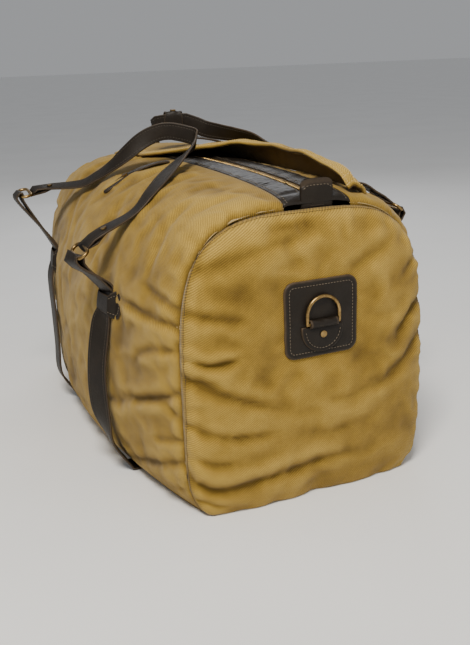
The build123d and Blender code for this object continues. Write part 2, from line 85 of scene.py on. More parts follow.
def bag_profile(x, side, edge, foot, count):
    """One side of the bag at a station, from the mouth edge down to the foot."""
    half, rise, sharp = (float(v) for v in bag_shape(x))
    upper = np.linspace(np.arccos((abs(edge) / half) ** (sharp / 2)), 0, 300)
    lower = np.linspace(0, np.arcsin(((belt_height - foot) / base_drop) ** 2.5), 120)[1:]
    up = np.c_[half * np.cos(upper) ** (2 / sharp), belt_height + rise * np.sin(upper) ** (2 / sharp)]
    low = np.c_[half * np.cos(lower) ** 0.4, belt_height - base_drop * np.sin(lower) ** 0.4]
    line, run = evenly(np.r_[up, low], count)
    return np.c_[line[:, 0] * side, line[:, 1]], run


def grid_normals(P, away):
    """Outward directions over a grid of points."""
    n = np.cross(np.gradient(P, axis=0), np.gradient(P, axis=1))
    n /= np.maximum(np.linalg.norm(n, axis=2, keepdims=True), 1e-12)
    return n if (n * away).sum() > 0 else -n


def soft_noise(P, scale, seed, octaves=3):
    """Smooth noise over points, about -1 to 1."""
    flat = P.reshape(-1, 3) * scale
    shift = Vector((seed * 7.31, seed * 3.17, seed * 1.73))
    out = [noise.fractal(Vector(p) + shift, 0.9, 2.1, octaves) for p in flat]
    return np.array(out).reshape(P.shape[:2])


def smooth_path(points, count):
    """A smooth run through a few given points, evenly divided."""
    p = np.array(points, float)
    p = np.r_[[2 * p[0] - p[1]], p, [2 * p[-1] - p[-2]]]
    out = []
    for i in range(1, len(p) - 2):
        a, b, c, d = p[i - 1:i + 3]
        for t in np.linspace(0, 1, 24, endpoint=False):
            out.append(0.5 * (2 * b + (c - a) * t + (2 * a - 5 * b + 4 * c - d) * t * t
                              + (3 * b - a - 3 * c + d) * t ** 3))
    out.append(p[-2])
    return evenly(np.array(out), count)[0]


def ramp(value):
    value = np.clip(value, 0, 1)
    return value * value * (3 - 2 * value)


def crease(A, B, points, depth, width, start=0.0, end=0.35, lift=0.55):
    """Height of one fold: a valley along a path over a surface, with the cloth raised beside it."""
    path = smooth_path(points, 60)
    run = np.gradient(path, axis=0)
    run /= np.linalg.norm(run, axis=1, keepdims=True)
    da = A[..., None] - path[:, 0]
    db = B[..., None] - path[:, 1]
    d2 = da * da + db * db
    k = d2.argmin(-1)
    near = np.sqrt(np.take_along_axis(d2, k[..., None], -1)[..., 0])
    sa = np.take_along_axis(da, k[..., None], -1)[..., 0]
    sb = np.take_along_axis(db, k[..., None], -1)[..., 0]
    across = near * np.sign(run[k][..., 0] * sb - run[k][..., 1] * sa)
    t = k / 59.0
    fade = (ramp(t / start) if start else 1.0) * (ramp((1 - t) / end) if end else 1.0)
    w = width * (0.55 + 0.45 * fade)
    shape = -np.exp(-(near / w) ** 1.25)
    shape = shape + lift * np.exp(-((across - 1.7 * w) / (1.3 * w)) ** 2)
    shape = shape + 0.6 * lift * np.exp(-((across + 1.8 * w) / (1.5 * w)) ** 2)
    return depth * shape * fade * np.exp(-np.maximum(near - 5 * width, 0) / width)


def grid_piece(name, P, away, run_u=None, run_v=None, closed=False, marks=None):
    """A mesh over a grid of points, with its faces outwards and its cloth measured in metres."""
    rows, cols = P.shape[:2]
    mesh = bpy.data.meshes.new(name)
    index = np.arange(rows * cols).reshape(rows, cols)
    a, b, c, d = index[:-1, :-1], index[:-1, 1:], index[1:, 1:], index[1:, :-1]
    if closed:
        a = np.c_[a, index[:-1, -1:]]
        b = np.c_[b, index[:-1, :1]]
        c = np.c_[c, index[1:, :1]]
        d = np.c_[d, index[1:, -1:]]
    quads = np.stack([a, b, c, d], -1).reshape(-1, 4)
    v = P.reshape(-1, 3)
    n = np.cross(v[quads[:, 2]] - v[quads[:, 0]], v[quads[:, 3]] - v[quads[:, 1]])
    if (n * away.reshape(-1, 3)[quads[:, 0]]).sum() < 0:
        quads = quads[:, ::-1]
    mesh.from_pydata(v.tolist(), [], quads.tolist())
    if run_u is not None:
        u, w = np.broadcast_to(run_u, (rows, cols)), np.broadcast_to(run_v, (rows, cols))
        per_point = np.stack([u.reshape(-1), w.reshape(-1)], 1)
        layer = mesh.uv_layers.new(name="cloth")
        loops = np.zeros(len(mesh.loops), np.int32)
        mesh.loops.foreach_get("vertex_index", loops)
        layer.data.foreach_set("uv", per_point[loops].astype(np.float32).reshape(-1))
    for word, values in (marks or {}).items():
        mark = mesh.attributes.new(word, "FLOAT", "POINT")
        mark.data.foreach_set("value", np.asarray(values, np.float32).reshape(-1))
    mesh.polygons.foreach_set("use_smooth", [True] * len(mesh.polygons))
    piece = bpy.data.objects.new(name, mesh)
    bpy.context.scene.collection.objects.link(piece)
    return piece


def finished(piece):
    """Turn a piece with modifiers into plain mesh."""
    bpy.context.view_layer.update()
    graph = bpy.context.evaluated_depsgraph_get()
    made = bpy.data.meshes.new_from_object(
        piece.evaluated_get(graph), preserve_all_data_layers=True, depsgraph=graph)
    piece.modifiers.clear()
    piece.data = made
    made.polygons.foreach_set("use_smooth", [True] * len(made.polygons))
    return piece


def thicken(piece, thick, side=-1.0):
    """Give a sheet its thickness, inwards from its outer face."""
    wall = piece.modifiers.new("thickness", "SOLIDIFY")
    wall.thickness, wall.offset, wall.use_rim = thick, side, True
    return finished(piece)


def settle(piece, P, held, grow, push, limit, stiff=6.0, frames=16):
    """Let cloth take up its slack: held where it is sewn, cut a little full, pushed from inside."""
    group = piece.vertex_groups.new(name="sewn")
    level = np.round(np.clip(held.reshape(-1), 0, 1) * 10).astype(int)
    for step in range(1, 11):
        group.add(np.where(level == step)[0].tolist(), step / 10, "REPLACE")
    cloth = piece.modifiers.new("cloth", "CLOTH")
    c = cloth.settings
    c.quality, c.mass, c.air_damping = 5, 0.3, 2.0
    c.tension_stiffness = c.compression_stiffness = 20
    c.shear_stiffness, c.bending_stiffness = 8, stiff
    c.vertex_group_mass, c.pin_stiffness = "sewn", 1.0
    c.shrink_min = -grow
    c.use_pressure, c.uniform_pressure_force = True, push
    c.effector_weights.gravity = 0
    cloth.collision_settings.use_collision = False
    cloth.point_cache.frame_start, cloth.point_cache.frame_end = 1, frames
    scene = bpy.context.scene
    for f in range(1, frames + 1):
        scene.frame_set(f)
    graph = bpy.context.evaluated_depsgraph_get()
    after = np.zeros(P.size, np.float32)
    piece.evaluated_get(graph).data.vertices.foreach_get("co", after)
    piece.modifiers.clear()
    piece.vertex_groups.clear()
    scene.frame_set(1)
    move = after.reshape(P.shape) - P
    size = np.linalg.norm(move, axis=2, keepdims=True)
    move = move * (limit * np.tanh(size / limit) / np.maximum(size, 1e-9))
    for _ in range(2):
        inner = move[1:-1, 1:-1]
        around = (move[:-2, 1:-1] + move[2:, 1:-1] + move[1:-1, :-2] + move[1:-1, 2:]) / 4
        move[1:-1, 1:-1] = 0.5 * inner + 0.5 * around
    out = P + move
    piece.data.vertices.foreach_set("co", out.astype(np.float32).reshape(-1))
    piece.data.update()
    return out


def node_tree(name):
    """A new material with its shader, and two short ways to add and join nodes."""
    made = bpy.data.materials.new(name)
    made.use_nodes = True
    tree = made.node_tree
    shader = tree.nodes["Principled BSDF"]

    def add(kind, **sockets):
        node = tree.nodes.new("ShaderNode" + kind)
        for key, value in sockets.items():
            if hasattr(node, key) and key not in node.inputs:
                setattr(node, key, value)
            else:
                node.inputs[key.replace("_", " ")].default_value = value
        return node

    def join(a, out, b, into):
        tree.links.new(a.outputs[out], b.inputs[into])
    return made, shader, add, join


def ramp_of(add, *stops):
    """A colour ramp with the given places and colours."""
    node = add("ValToRGB")
    bar = node.color_ramp.elements
    while len(bar) < len(stops):
        bar.new(0.5)
    for element, (place, colour) in zip(bar, stops):
        element.position = place
        element.color = (*colour, 1)
    return node


def twill(name, dark, middle, light, rise=32.0, period=0.0022, depth=0.5):
    """Washed twill: slanting ribs from the cloth's own measure. Its colour follows the fold mark: a little
    paler on raised ridges, and darker in crease valleys, seam dips and the flap's underside, that darkening
    being painted shade.
    """
    made, shader, add, join = node_tree(name)
    uv = add("UVMap", uv_map="cloth")
    turn = add("Mapping")
    turn.inputs["Rotation"].default_value = (0, 0, radians(-rise))
    join(uv, "UV", turn, "Vector")
    ribs = add("TexWave", wave_type="BANDS", bands_direction="Y", Distortion=1.2, Detail=2.0)
    ribs.inputs["Scale"].default_value = 0.314 / period
    ribs.inputs["Detail Scale"].default_value = 1.6
    join(turn, "Vector", ribs, "Vector")
    place = add("TexCoord")
    threads = add("TexNoise", Scale=900.0, Detail=2.0)
    join(turn, "Vector", threads, "Vector")
    fade = add("TexNoise", Scale=9.0, Detail=6.0, Roughness=0.62)
    join(place, "Object", fade, "Vector")
    blotch = add("TexNoise", Scale=46.0, Detail=5.0, Roughness=0.7)
    join(place, "Object", blotch, "Vector")
    # Painted shade: the fold mark darkens the cloth in crease valleys, along the seams and on the flap's
    # underside, and lightens it a little on ridges.
    fold = add("Attribute", attribute_name="fold")
    both = add("Math", operation="MULTIPLY_ADD")
    both.inputs[1].default_value = 0.32
    join(fade, "Fac", both, 0)
    join(fold, "Fac", both, 2)
    more = add("Math", operation="MULTIPLY_ADD")
    more.inputs[1].default_value = 0.36
    join(blotch, "Fac", more, 0)
    join(both, "Value", more, 2)
    colour = ramp_of(add, (0.05, dark), (0.40, middle), (0.78, light))
    join(more, "Value", colour, "Fac")
    tone = add("MapRange")
    tone.inputs["To Min"].default_value, tone.inputs["To Max"].default_value = 0.68, 1.18
    join(ribs, "Fac", tone, "Value")
    grain = add("MapRange")
    grain.inputs["From Min"].default_value, grain.inputs["From Max"].default_value = 0.3, 0.7
    grain.inputs["To Min"].default_value, grain.inputs["To Max"].default_value = 0.78, 1.20
    join(threads, "Fac", grain, "Value")
    product = add("Math", operation="MULTIPLY")
    join(tone, "Result", product, 0)
    join(grain, "Result", product, 1)
    shade = add("VectorMath", operation="SCALE")
    join(colour, "Color", shade, 0)
    join(product, "Value", shade, "Scale")
    join(shade, "Vector", shader, "Base Color")
    height = add("Math", operation="MULTIPLY_ADD")
    height.inputs[1].default_value = 0.5
    join(threads, "Fac", height, 0)
    join(ribs, "Fac", height, 2)
    bump = add("Bump", Strength=depth, Distance=0.0006)
    join(height, "Value", bump, "Height")
    join(bump, "Normal", shader, "Normal")
    shader.inputs["Roughness"].default_value = 0.88
    shader.inputs["Specular IOR Level"].default_value = 0.22
    shader.inputs["Sheen Weight"].default_value = 0.12
    shader.inputs["Sheen Roughness"].default_value = 0.5
    return made


canvas_cloth = twill("washed mustard twill", (0.130, 0.074, 0.0075), (0.285, 0.173, 0.024),
                     (0.450, 0.295, 0.062))
front_folds = [
    ([(0.302, 0.240), (0.270, 0.242), (0.235, 0.244), (0.160, 0.250)], 0.0060, 0.0060),
    ([(0.302, 0.262), (0.262, 0.270), (0.215, 0.282)], 0.0028, 0.0050),
    ([(0.302, 0.212), (0.262, 0.205), (0.228, 0.190), (0.205, 0.166)], 0.0040, 0.0062),
    ([(0.302, 0.160), (0.270, 0.146), (0.220, 0.130), (0.165, 0.122)], 0.0042, 0.0060),
    ([(0.302, 0.128), (0.262, 0.140), (0.150, 0.105), (0.055, 0.083)], 0.0034, 0.0070),
    ([(0.302, 0.100), (0.275, 0.093), (0.245, 0.088)], 0.0030, 0.0045),
    ([(0.302, 0.070), (0.250, 0.052), (0.190, 0.030), (0.125, 0.012)], 0.0050, 0.0065),
    ([(0.302, 0.034), (0.262, 0.020), (0.225, 0.008)], 0.0034, 0.0055),
    ([(0.100, 0.214), (0.074, 0.220), (0.045, 0.226)], 0.0020, 0.0060),
    ([(0.240, 0.330), (0.205, 0.345), (0.170, 0.350)], 0.0016, 0.0070),
    ([(0.110, 0.300), (0.060, 0.312), (0.010, 0.300)], 0.0018, 0.0075),
    ([(-0.302, 0.220), (-0.255, 0.226), (-0.200, 0.214)], 0.0044, 0.0065),
    ([(-0.302, 0.150), (-0.250, 0.140), (-0.180, 0.150)], 0.0044, 0.0065),
    ([(-0.302, 0.085), (-0.240, 0.090), (-0.170, 0.070)], 0.0044, 0.0070),
    ([(-0.302, 0.290), (-0.262, 0.300), (-0.215, 0.296)], 0.0030, 0.0060),
]


def pucker(far, along, seed, depth=0.0016, reach=0.016):
    """Short ripples that run into a seam, deepest at it."""
    ripple = soft_noise(np.stack([along * 1.0, 0 * along, 0 * along + seed], 2), 62.0, seed, 2)
    ripple = 1 - 2.2 * np.abs(ripple)
    return depth * ripple * np.exp(-far / reach)


canvas_walls = {}
for word, side, edge, seed in (("front", -1, mouth_front, 3), ("back", 1, mouth_back, 8)):
    columns = int(bag_length / cloth_step)
    xs = np.linspace(-half_length, half_length, columns)
    profiles = [bag_profile(x, side, edge, 0.0022, 132) for x in xs]
    P = np.stack([np.c_[np.full(132, x), line] for x, (line, _) in zip(xs, profiles)], 1)
    down = np.stack([run for _, run in profiles], 1)
    along = np.broadcast_to(xs, down.shape)
    away = np.stack([0 * P[..., 0], P[..., 1], P[..., 2] - belt_height], 2)
    N = grid_normals(P, away)
    to_seam = half_length - np.abs(P[..., 0])
    height = 0.0016 * soft_noise(P, 9.0, seed) + 0.0010 * soft_noise(P * (1, 1, 1.7), 26.0, seed + 1)
    warp = soft_noise(P, 13.0, seed + 2)
    ridges = 1 - np.abs(soft_noise(P + 0.012 * warp[..., None], 21.0, seed + 4, 2)) * 3.0
    height += 0.0013 * np.clip(ridges, -1, 1)
    folds = front_folds if side < 0 else [
        ([(-x, z + 0.012) for x, z in path], d, w) for path, d, w in front_folds]
    for path, depth, width in folds:
        height += crease(P[..., 0], P[..., 2], path, depth, width)
    height += pucker(to_seam, down, seed)
    height -= 0.0024 * np.exp(-(to_seam / 0.0030) ** 2)
    height += 0.0012 * np.exp(-((to_seam - 0.009) / 0.006) ** 2)
    edge_fade = ramp(down / 0.030) * ramp((down.max(0) - down) / 0.05)
    flatten = edge_fade * (0.25 + 0.75 * ramp(to_seam / 0.010) + 0.75 * np.exp(-(to_seam / 0.004) ** 2))
    height *= np.clip(flatten, 0, 1)
    hem = 0.0007 * ramp((0.013 - down) / 0.0015)
    Q = P + N * (height - 0.0006)[..., None]
    # Painted shade: the fold mark passed on here darkens the cloth's colour in the crease valleys and in the
    # dip along each end seam.
    wall = grid_piece(f"canvas_{word}", Q, away, along, down,
                      marks={"fold": np.clip(height / 0.010, -0.35, 0.3)})
    held = np.maximum.reduce([ramp(1 - to_seam / 0.016), ramp(1 - down / 0.03),
                              ramp(1 - (down.max(0) - down) / 0.05)])
    Q = settle(wall, Q, held, 0.030, 1.2, 0.0045)
    Q = Q + N * hem[..., None]
    Q[..., 2] = np.maximum(Q[..., 2], 0.0018)
    wall.data.vertices.foreach_set("co", Q.astype(np.float32).reshape(-1))
    wall.data.update()
    thicken(wall, cloth_thick)
    wall.data.materials.append(canvas_cloth)
    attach(wall, "bag")
    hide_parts(f"{word}_panel")
    canvas_walls[word] = (Q, N, down)

# The two ends are single panels of the same twill, pushed out like pillows by what is inside.
# Deep folds run in from the seam, where the fuller cloth was gathered as it was sewn.
end_bulge = 0.028
end_middle = 0.180
end_count = 96
end_folds = [
    ([(-0.166, 0.262), (-0.130, 0.252), (-0.082, 0.243)], 0.0042, 0.0065),
    ([(-0.168, 0.208), (-0.140, 0.198), (-0.116, 0.199), (-0.094, 0.204)], 0.0052, 0.0058),
    ([(-0.168, 0.186), (-0.134, 0.166), (-0.100, 0.150), (-0.046, 0.130)], 0.0052, 0.0080),
    ([(-0.168, 0.127), (-0.140, 0.112), (-0.100, 0.103), (-0.040, 0.101)], 0.0040, 0.0065),
    ([(-0.168, 0.086), (-0.140, 0.074), (-0.104, 0.072)], 0.0034, 0.0055),
    ([(-0.168, 0.062), (-0.146, 0.040), (-0.110, 0.038), (-0.040, 0.045), (0.066, 0.054)],
     0.0060, 0.0085),
    ([(-0.166, 0.030), (-0.140, 0.018), (-0.115, 0.014)], 0.0036, 0.0050),
    ([(0.160, 0.186), (0.134, 0.166), (0.104, 0.146), (0.044, 0.114)], 0.0040, 0.0080),
    ([(0.162, 0.232), (0.140, 0.222), (0.122, 0.204), (0.110, 0.180)], 0.0046, 0.0070),
    ([(0.160, 0.292), (0.136, 0.280), (0.116, 0.264)], 0.0034, 0.0070),
    ([(-0.166, 0.303), (-0.118, 0.313), (-0.046, 0.327), (0.010, 0.334)], 0.0036, 0.0090),
    ([(-0.050, 0.344), (-0.012, 0.348), (0.030, 0.352)], 0.0050, 0.0100),
    ([(0.052, 0.290), (0.088, 0.306), (0.116, 0.324)], 0.0030, 0.0085),
    ([(-0.030, 0.217), (-0.044, 0.214), (-0.062, 0.213)], 0.0016, 0.0050),
    ([(-0.020, 0.092), (0.030, 0.086), (0.110, 0.100)], 0.0022, 0.0090),
    ([(0.020, 0.128), (0.054, 0.132), (0.090, 0.150)], 0.0018, 0.0060),
]


def end_outline():
    """The seam line of an end panel as distances from its middle, all the way round."""
    right = bag_profile(half_length, 1, 0.0005, -0.012, 500)[0]
    left = bag_profile(half_length, -1, 0.0005, -0.012, 500)[0]
    loop = np.r_[right, [[0, -0.012]], left[::-1]]
    angle = np.arctan2(loop[:, 1] - end_middle, loop[:, 0])
    size = np.hypot(loop[:, 0], loop[:, 1] - end_middle)
    order = angle.argsort()
    return angle[order], size[order]


outline_angle, outline_size = end_outline()


def end_reach(angle):
    return np.interp(angle, outline_angle, outline_size, period=2 * pi)


end_faces = {}
for word, sign, seed in (("near", 1, 21), ("far", -1, 33)):
    side = np.linspace(-1, 1, end_count)
    side = 0.75 * side + 0.25 * np.sin(side * pi / 2)
    U, V = np.meshgrid(side, side)
    square_y, square_z = U * np.sqrt(1 - V * V / 2), V * np.sqrt(1 - U * U / 2)
    share = np.minimum(np.hypot(square_y, square_z), 1.0)
    angle = np.arctan2(square_z, square_y)
    Y = end_reach(angle) * share * np.cos(angle)
    Z = end_middle + end_reach(angle) * share * np.sin(angle)
    X = half_length + end_bulge * np.sqrt(np.clip(1 - share ** 4, 0, 1))
    P = np.stack([X, Y, Z], 2)
    away = np.stack([np.ones_like(X), 0 * X, 0 * X], 2)
    N = grid_normals(P, away)
    N = N + 0.8 * away * ramp((share - 0.9) / 0.1)[..., None]
    N /= np.linalg.norm(N, axis=2, keepdims=True)
    to_seam = (1 - share) * end_reach(angle)
    height = 0.0016 * soft_noise(P, 11.0, seed) + 0.0009 * soft_noise(P * (1, 1, 1.6), 28.0, seed + 1)
    warp = soft_noise(P, 12.0, seed + 2)
    ridges = 1 - np.abs(soft_noise(P + 0.014 * warp[..., None], 19.0, seed + 4, 2)) * 3.0
    height += 0.0012 * np.clip(ridges, -1, 1)
    flip = 1 if sign > 0 else -1
    for path, depth, width in end_folds:
        height += crease(Y, Z, [(flip * y, z) for y, z in path], depth, width)
    around = np.stack([np.cos(angle) * 0.17, np.sin(angle) * 0.17], 2)
    ripple = 1 - 2.2 * np.abs(soft_noise(np.dstack([around, 0 * X + seed]), 50.0, seed, 2))
    height += 0.0017 * ripple * np.exp(-to_seam / 0.015)
    height += 0.0020 * np.exp(-((to_seam - 0.008) / 0.006) ** 2)
    patch_far = np.hypot(np.maximum(np.abs(Y - 0.005) - 0.040, 0), np.maximum(np.abs(Z - 0.235) - 0.038, 0))
    height *= np.clip(0.12 + 0.88 * ramp(patch_far / 0.022), 0, 1)
    height *= ramp((to_seam + 0.001) / 0.006)
    Q = P + N * height[..., None]
    # Painted shade: the fold mark passed on here darkens the cloth's colour in the crease valleys and the
    # ripples along the seam.
    panel = grid_piece(f"canvas_end_{word}", Q, away, Y, Z,
                       marks={"fold": np.clip(height / 0.010, -0.4, 0.3)})
    held = np.maximum(ramp(1 - to_seam / 0.014), ramp(1 - patch_far / 0.03))
    Q = settle(panel, Q, held, 0.035, 1.4, 0.0045)
    Q[..., 2] = np.maximum(Q[..., 2], 0.0012 + 0.0006 * (to_seam < 0.001))
    Q[..., 0] *= sign
    panel.data.vertices.foreach_set("co", Q.astype(np.float32).reshape(-1))
    if sign < 0:
        panel.data.flip_normals()
    panel.data.update()
    thicken(panel, cloth_thick)
    panel.data.materials.append(canvas_cloth)
    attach(panel, "bag")
    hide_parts(f"end_panel_{word}")
    end_faces[word] = (Q, N * (sign, 1, 1), share)


# Every sewn line is a row of separate stitches: dark linen thread in the leather and the end
# seams, and gold cotton in the canvas hems. Each stitch is a short bead sunk at both ends.
def thread(name, colour, rough=0.7):
    made, shader, add, join = node_tree(name)
    place = add("TexCoord")
    twist = add("TexNoise", Scale=700.0, Detail=2.0)
    join(place, "Object", twist, "Vector")
    dark = tuple(c * 0.6 for c in colour)
    light = tuple(min(c * 1.4, 1) for c in colour)
    tint = ramp_of(add, (0.25, dark), (0.75, light))
    join(twist, "Fac", tint, "Fac")
    join(tint, "Color", shader, "Base Color")
    bump = add("Bump", Strength=0.5, Distance=0.0003)
    join(twist, "Fac", bump, "Height")
    join(bump, "Normal", shader, "Normal")
    shader.inputs["Roughness"].default_value = rough
    return made


dark_thread = thread("dark waxed linen thread", (0.030, 0.020, 0.012))
pale_thread = thread("brown waxed linen thread", (0.13, 0.10, 0.065), 0.5)
brown_thread = thread("dull brown linen thread", (0.045, 0.034, 0.022), 0.6)
gold_thread = thread("gold cotton thread", (0.60, 0.42, 0.15))


def stitch_maker():
    """The node tree that lays stitches along lines, with named sizes."""
    tree = bpy.data.node_groups.new("Row of stitches", "GeometryNodeTree")
    face = tree.interface
    face.new_socket(name="Lines", in_out="INPUT", socket_type="NodeSocketGeometry")
    ids = {}
    for label, kind in (("Pitch", "NodeSocketFloat"), ("Stitch Length", "NodeSocketFloat"),
                        ("Thread Radius", "NodeSocketFloat"), ("Thread", "NodeSocketMaterial")):
        ids[label] = face.new_socket(name=label, in_out="INPUT", socket_type=kind).identifier
    face.new_socket(name="Stitches", in_out="OUTPUT", socket_type="NodeSocketGeometry")
    new, link = tree.nodes.new, tree.links.new
    start, end = new("NodeGroupInput"), new("NodeGroupOutput")
    curve = new("GeometryNodeMeshToCurve")
    link(start.outputs["Lines"], curve.inputs["Mesh"])
    divide = new("GeometryNodeResampleCurve")
    divide.mode = "LENGTH"
    link(curve.outputs["Curve"], divide.inputs["Curve"])
    link(start.outputs["Pitch"], divide.inputs["Length"])
    bead = new("GeometryNodeMeshUVSphere")
    bead.inputs["Segments"].default_value, bead.inputs["Rings"].default_value = 6, 5
    bead.inputs["Radius"].default_value = 1.0
    half = new("ShaderNodeMath")
    half.operation = "MULTIPLY"
    half.inputs[1].default_value = 0.5
    link(start.outputs["Stitch Length"], half.inputs[0])
    size = new("ShaderNodeCombineXYZ")
    link(start.outputs["Thread Radius"], size.inputs["X"])
    link(start.outputs["Thread Radius"], size.inputs["Y"])
    link(half.outputs["Value"], size.inputs["Z"])
    tangent = new("GeometryNodeInputTangent")
    aim = new("FunctionNodeAlignEulerToVector")
    aim.axis = "Z"
    link(tangent.outputs["Tangent"], aim.inputs["Vector"])
    lay = new("GeometryNodeInstanceOnPoints")
    link(divide.outputs["Curve"], lay.inputs["Points"])
    link(bead.outputs["Mesh"], lay.inputs["Instance"])
    link(aim.outputs["Rotation"], lay.inputs["Rotation"])
    link(size.outputs["Vector"], lay.inputs["Scale"])
    real = new("GeometryNodeRealizeInstances")
    paint = new("GeometryNodeSetMaterial")
    link(lay.outputs["Instances"], real.inputs["Geometry"])
    link(real.outputs["Geometry"], paint.inputs["Geometry"])
    link(start.outputs["Thread"], paint.inputs["Material"])
    link(paint.outputs["Geometry"], end.inputs["Stitches"])
    return tree, ids


stitch_tree, stitch_sizes = stitch_maker()


def stitches(name, body, lines, material, pitch=0.0042, length=0.0032, radius=0.00050):
    """Rows of stitches along lines, as one plain mesh on one body."""
    verts, edges = [], []
    for line in lines:
        line = np.asarray(line)
        first = len(verts)
        verts += line.tolist()
        edges += [(first + i, first + i + 1) for i in range(len(line) - 1)]
    mesh = bpy.data.meshes.new(name)
    mesh.from_pydata(verts, edges, [])
    piece = bpy.data.objects.new(name, mesh)
    bpy.context.scene.collection.objects.link(piece)
    rows = piece.modifiers.new("stitches", "NODES")
    rows.node_group = stitch_tree
    for label, value in (("Pitch", pitch), ("Stitch Length", length), ("Thread Radius", radius),
                         ("Thread", material)):
        rows[stitch_sizes[label]] = value
    finished(piece)
    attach(piece, body)
    return piece


for word in ("near", "far"):
    Q, N, share = end_faces[word]
    R = Q + N * 0.00015
    row = np.r_[R[-2, 1:-1], R[-2:0:-1, -2][1:], R[1, -2:0:-1][1:], R[1:-1, 1][1:]]
    parts, current = [], []
    for point in row:
        if point[2] > 0.006:
            current.append(point)
        elif current:
            parts.append(current)
            current = []
    parts.append(current)
    stitches(f"end_seam_thread_{word}", "bag", [p for p in parts if len(p) > 2], dark_thread,
             0.0034, 0.0030, 0.00042)

# A square patch of very dark bridle leather, with rounded corners, is stitched to each end. It
# spreads the pull of the D-ring over the canvas. Its cut edge is waxed and shows a little paler.
def bridle_leather(name, dark, light, edge, rough=0.42, grain=1.0):
    """Polished leather with a fine pore grain, creases, and wear on its cut edges."""
    made, shader, add, join = node_tree(name)
    place = add("TexCoord")
    cloud = add("TexNoise", Scale=22.0, Detail=6.0, Roughness=0.65)
    join(place, "Object", cloud, "Vector")
    tint = ramp_of(add, (0.30, dark), (0.78, light))
    join(cloud, "Fac", tint, "Fac")
    worn = add("Attribute", attribute_name="worn")
    rub = add("TexNoise", Scale=150.0, Detail=4.0, Roughness=0.7)
    join(place, "Object", rub, "Vector")
    share = add("Math", operation="MULTIPLY", use_clamp=True)
    join(worn, "Fac", share, 0)
    join(rub, "Fac", share, 1)
    mix = add("Mix", data_type="RGBA")
    mix.inputs["B"].default_value = (*edge, 1)
    for socket in mix.inputs:
        if socket.identifier == "B_Color":
            socket.default_value = (*edge, 1)
    tree = made.node_tree
    sockets = {s.identifier: s for s in mix.inputs}
    tree.links.new(share.outputs["Value"], sockets["Factor_Float"])
    tree.links.new(tint.outputs["Color"], sockets["A_Color"])
    out = {s.identifier: s for s in mix.outputs}["Result_Color"]
    tree.links.new(out, shader.inputs["Base Color"])
    pores = add("TexVoronoi", Scale=620.0)
    join(place, "Object", pores, "Vector")
    crinkle = add("TexNoise", Scale=240.0, Detail=5.0, Roughness=0.6)
    join(place, "Object", crinkle, "Vector")
    crease_noise = add("TexNoise", Scale=46.0, Detail=3.0, Distortion=1.4)
    join(place, "Object", crease_noise, "Vector")
    one = add("Math", operation="MULTIPLY_ADD")
    one.inputs[1].default_value = 0.7
    join(crinkle, "Fac", one, 0)
    join(pores, "Distance", one, 2)
    two = add("Math", operation="MULTIPLY_ADD")
    two.inputs[1].default_value = 1.6
    join(crease_noise, "Fac", two, 0)
    join(one, "Value", two, 2)
    bump = add("Bump", Strength=0.28 * grain, Distance=0.0006)
    join(two, "Value", bump, "Height")
    join(bump, "Normal", shader, "Normal")
    shine = add("MapRange")
    shine.inputs["To Min"].default_value, shine.inputs["To Max"].default_value = rough - 0.08, rough + 0.16
    join(rub, "Fac", shine, "Value")
    join(shine, "Result", shader, "Roughness")
    shader.inputs["Specular IOR Level"].default_value = 0.24
    return made


strap_leather = bridle_leather("dark brown bridle leather", (0.0085, 0.0058, 0.0036),
                               (0.019, 0.0135, 0.0085), (0.10, 0.068, 0.040), 0.46)
patch_y, patch_z, patch_wide, patch_high, patch_corner = 0.005, 0.235, 0.098, 0.094, 0.013


def rounded_square(count, wide, high, corner, inset=0.0):
    """Points round a rectangle with rounded corners, evenly spaced, about its middle."""
    a, b, r = wide / 2 - inset, high / 2 - inset, max(corner - inset, 0.001)
    points = []
    for k, (sy, sz) in enumerate(((1, 1), (-1, 1), (-1, -1), (1, -1))):
        for t in np.linspace(0, pi / 2, 10):
            angle = k * pi / 2 + t
            points.append((sy * (a - r) + r * cos(angle), sz * (b - r) + r * sin(angle)))
    points.append(points[0])
    return evenly(np.array(points), count + 1)[0][:-1]


bow_cache = {}


def end_skin(word, y, z):
    """The outer face of a finished end panel over places on it, found from its own points."""
    if word not in bow_cache:
        Q = end_faces[word][0].reshape(-1, 3)
        bow_cache[word] = Q
    Q = bow_cache[word]
    y, z = np.asarray(y, float), np.asarray(z, float)
    out = np.zeros(y.shape)
    flat_y, flat_z, flat = y.reshape(-1), z.reshape(-1), out.reshape(-1)
    for i in range(len(flat_y)):
        d = (Q[:, 1] - flat_y[i]) ** 2 + (Q[:, 2] - flat_z[i]) ** 2
        near = np.argpartition(d, 6)[:6]
        w = 1 / (d[near] + 1e-7)
        flat[i] = (Q[near, 0] * w).sum() / w.sum()
    return flat.reshape(y.shape)


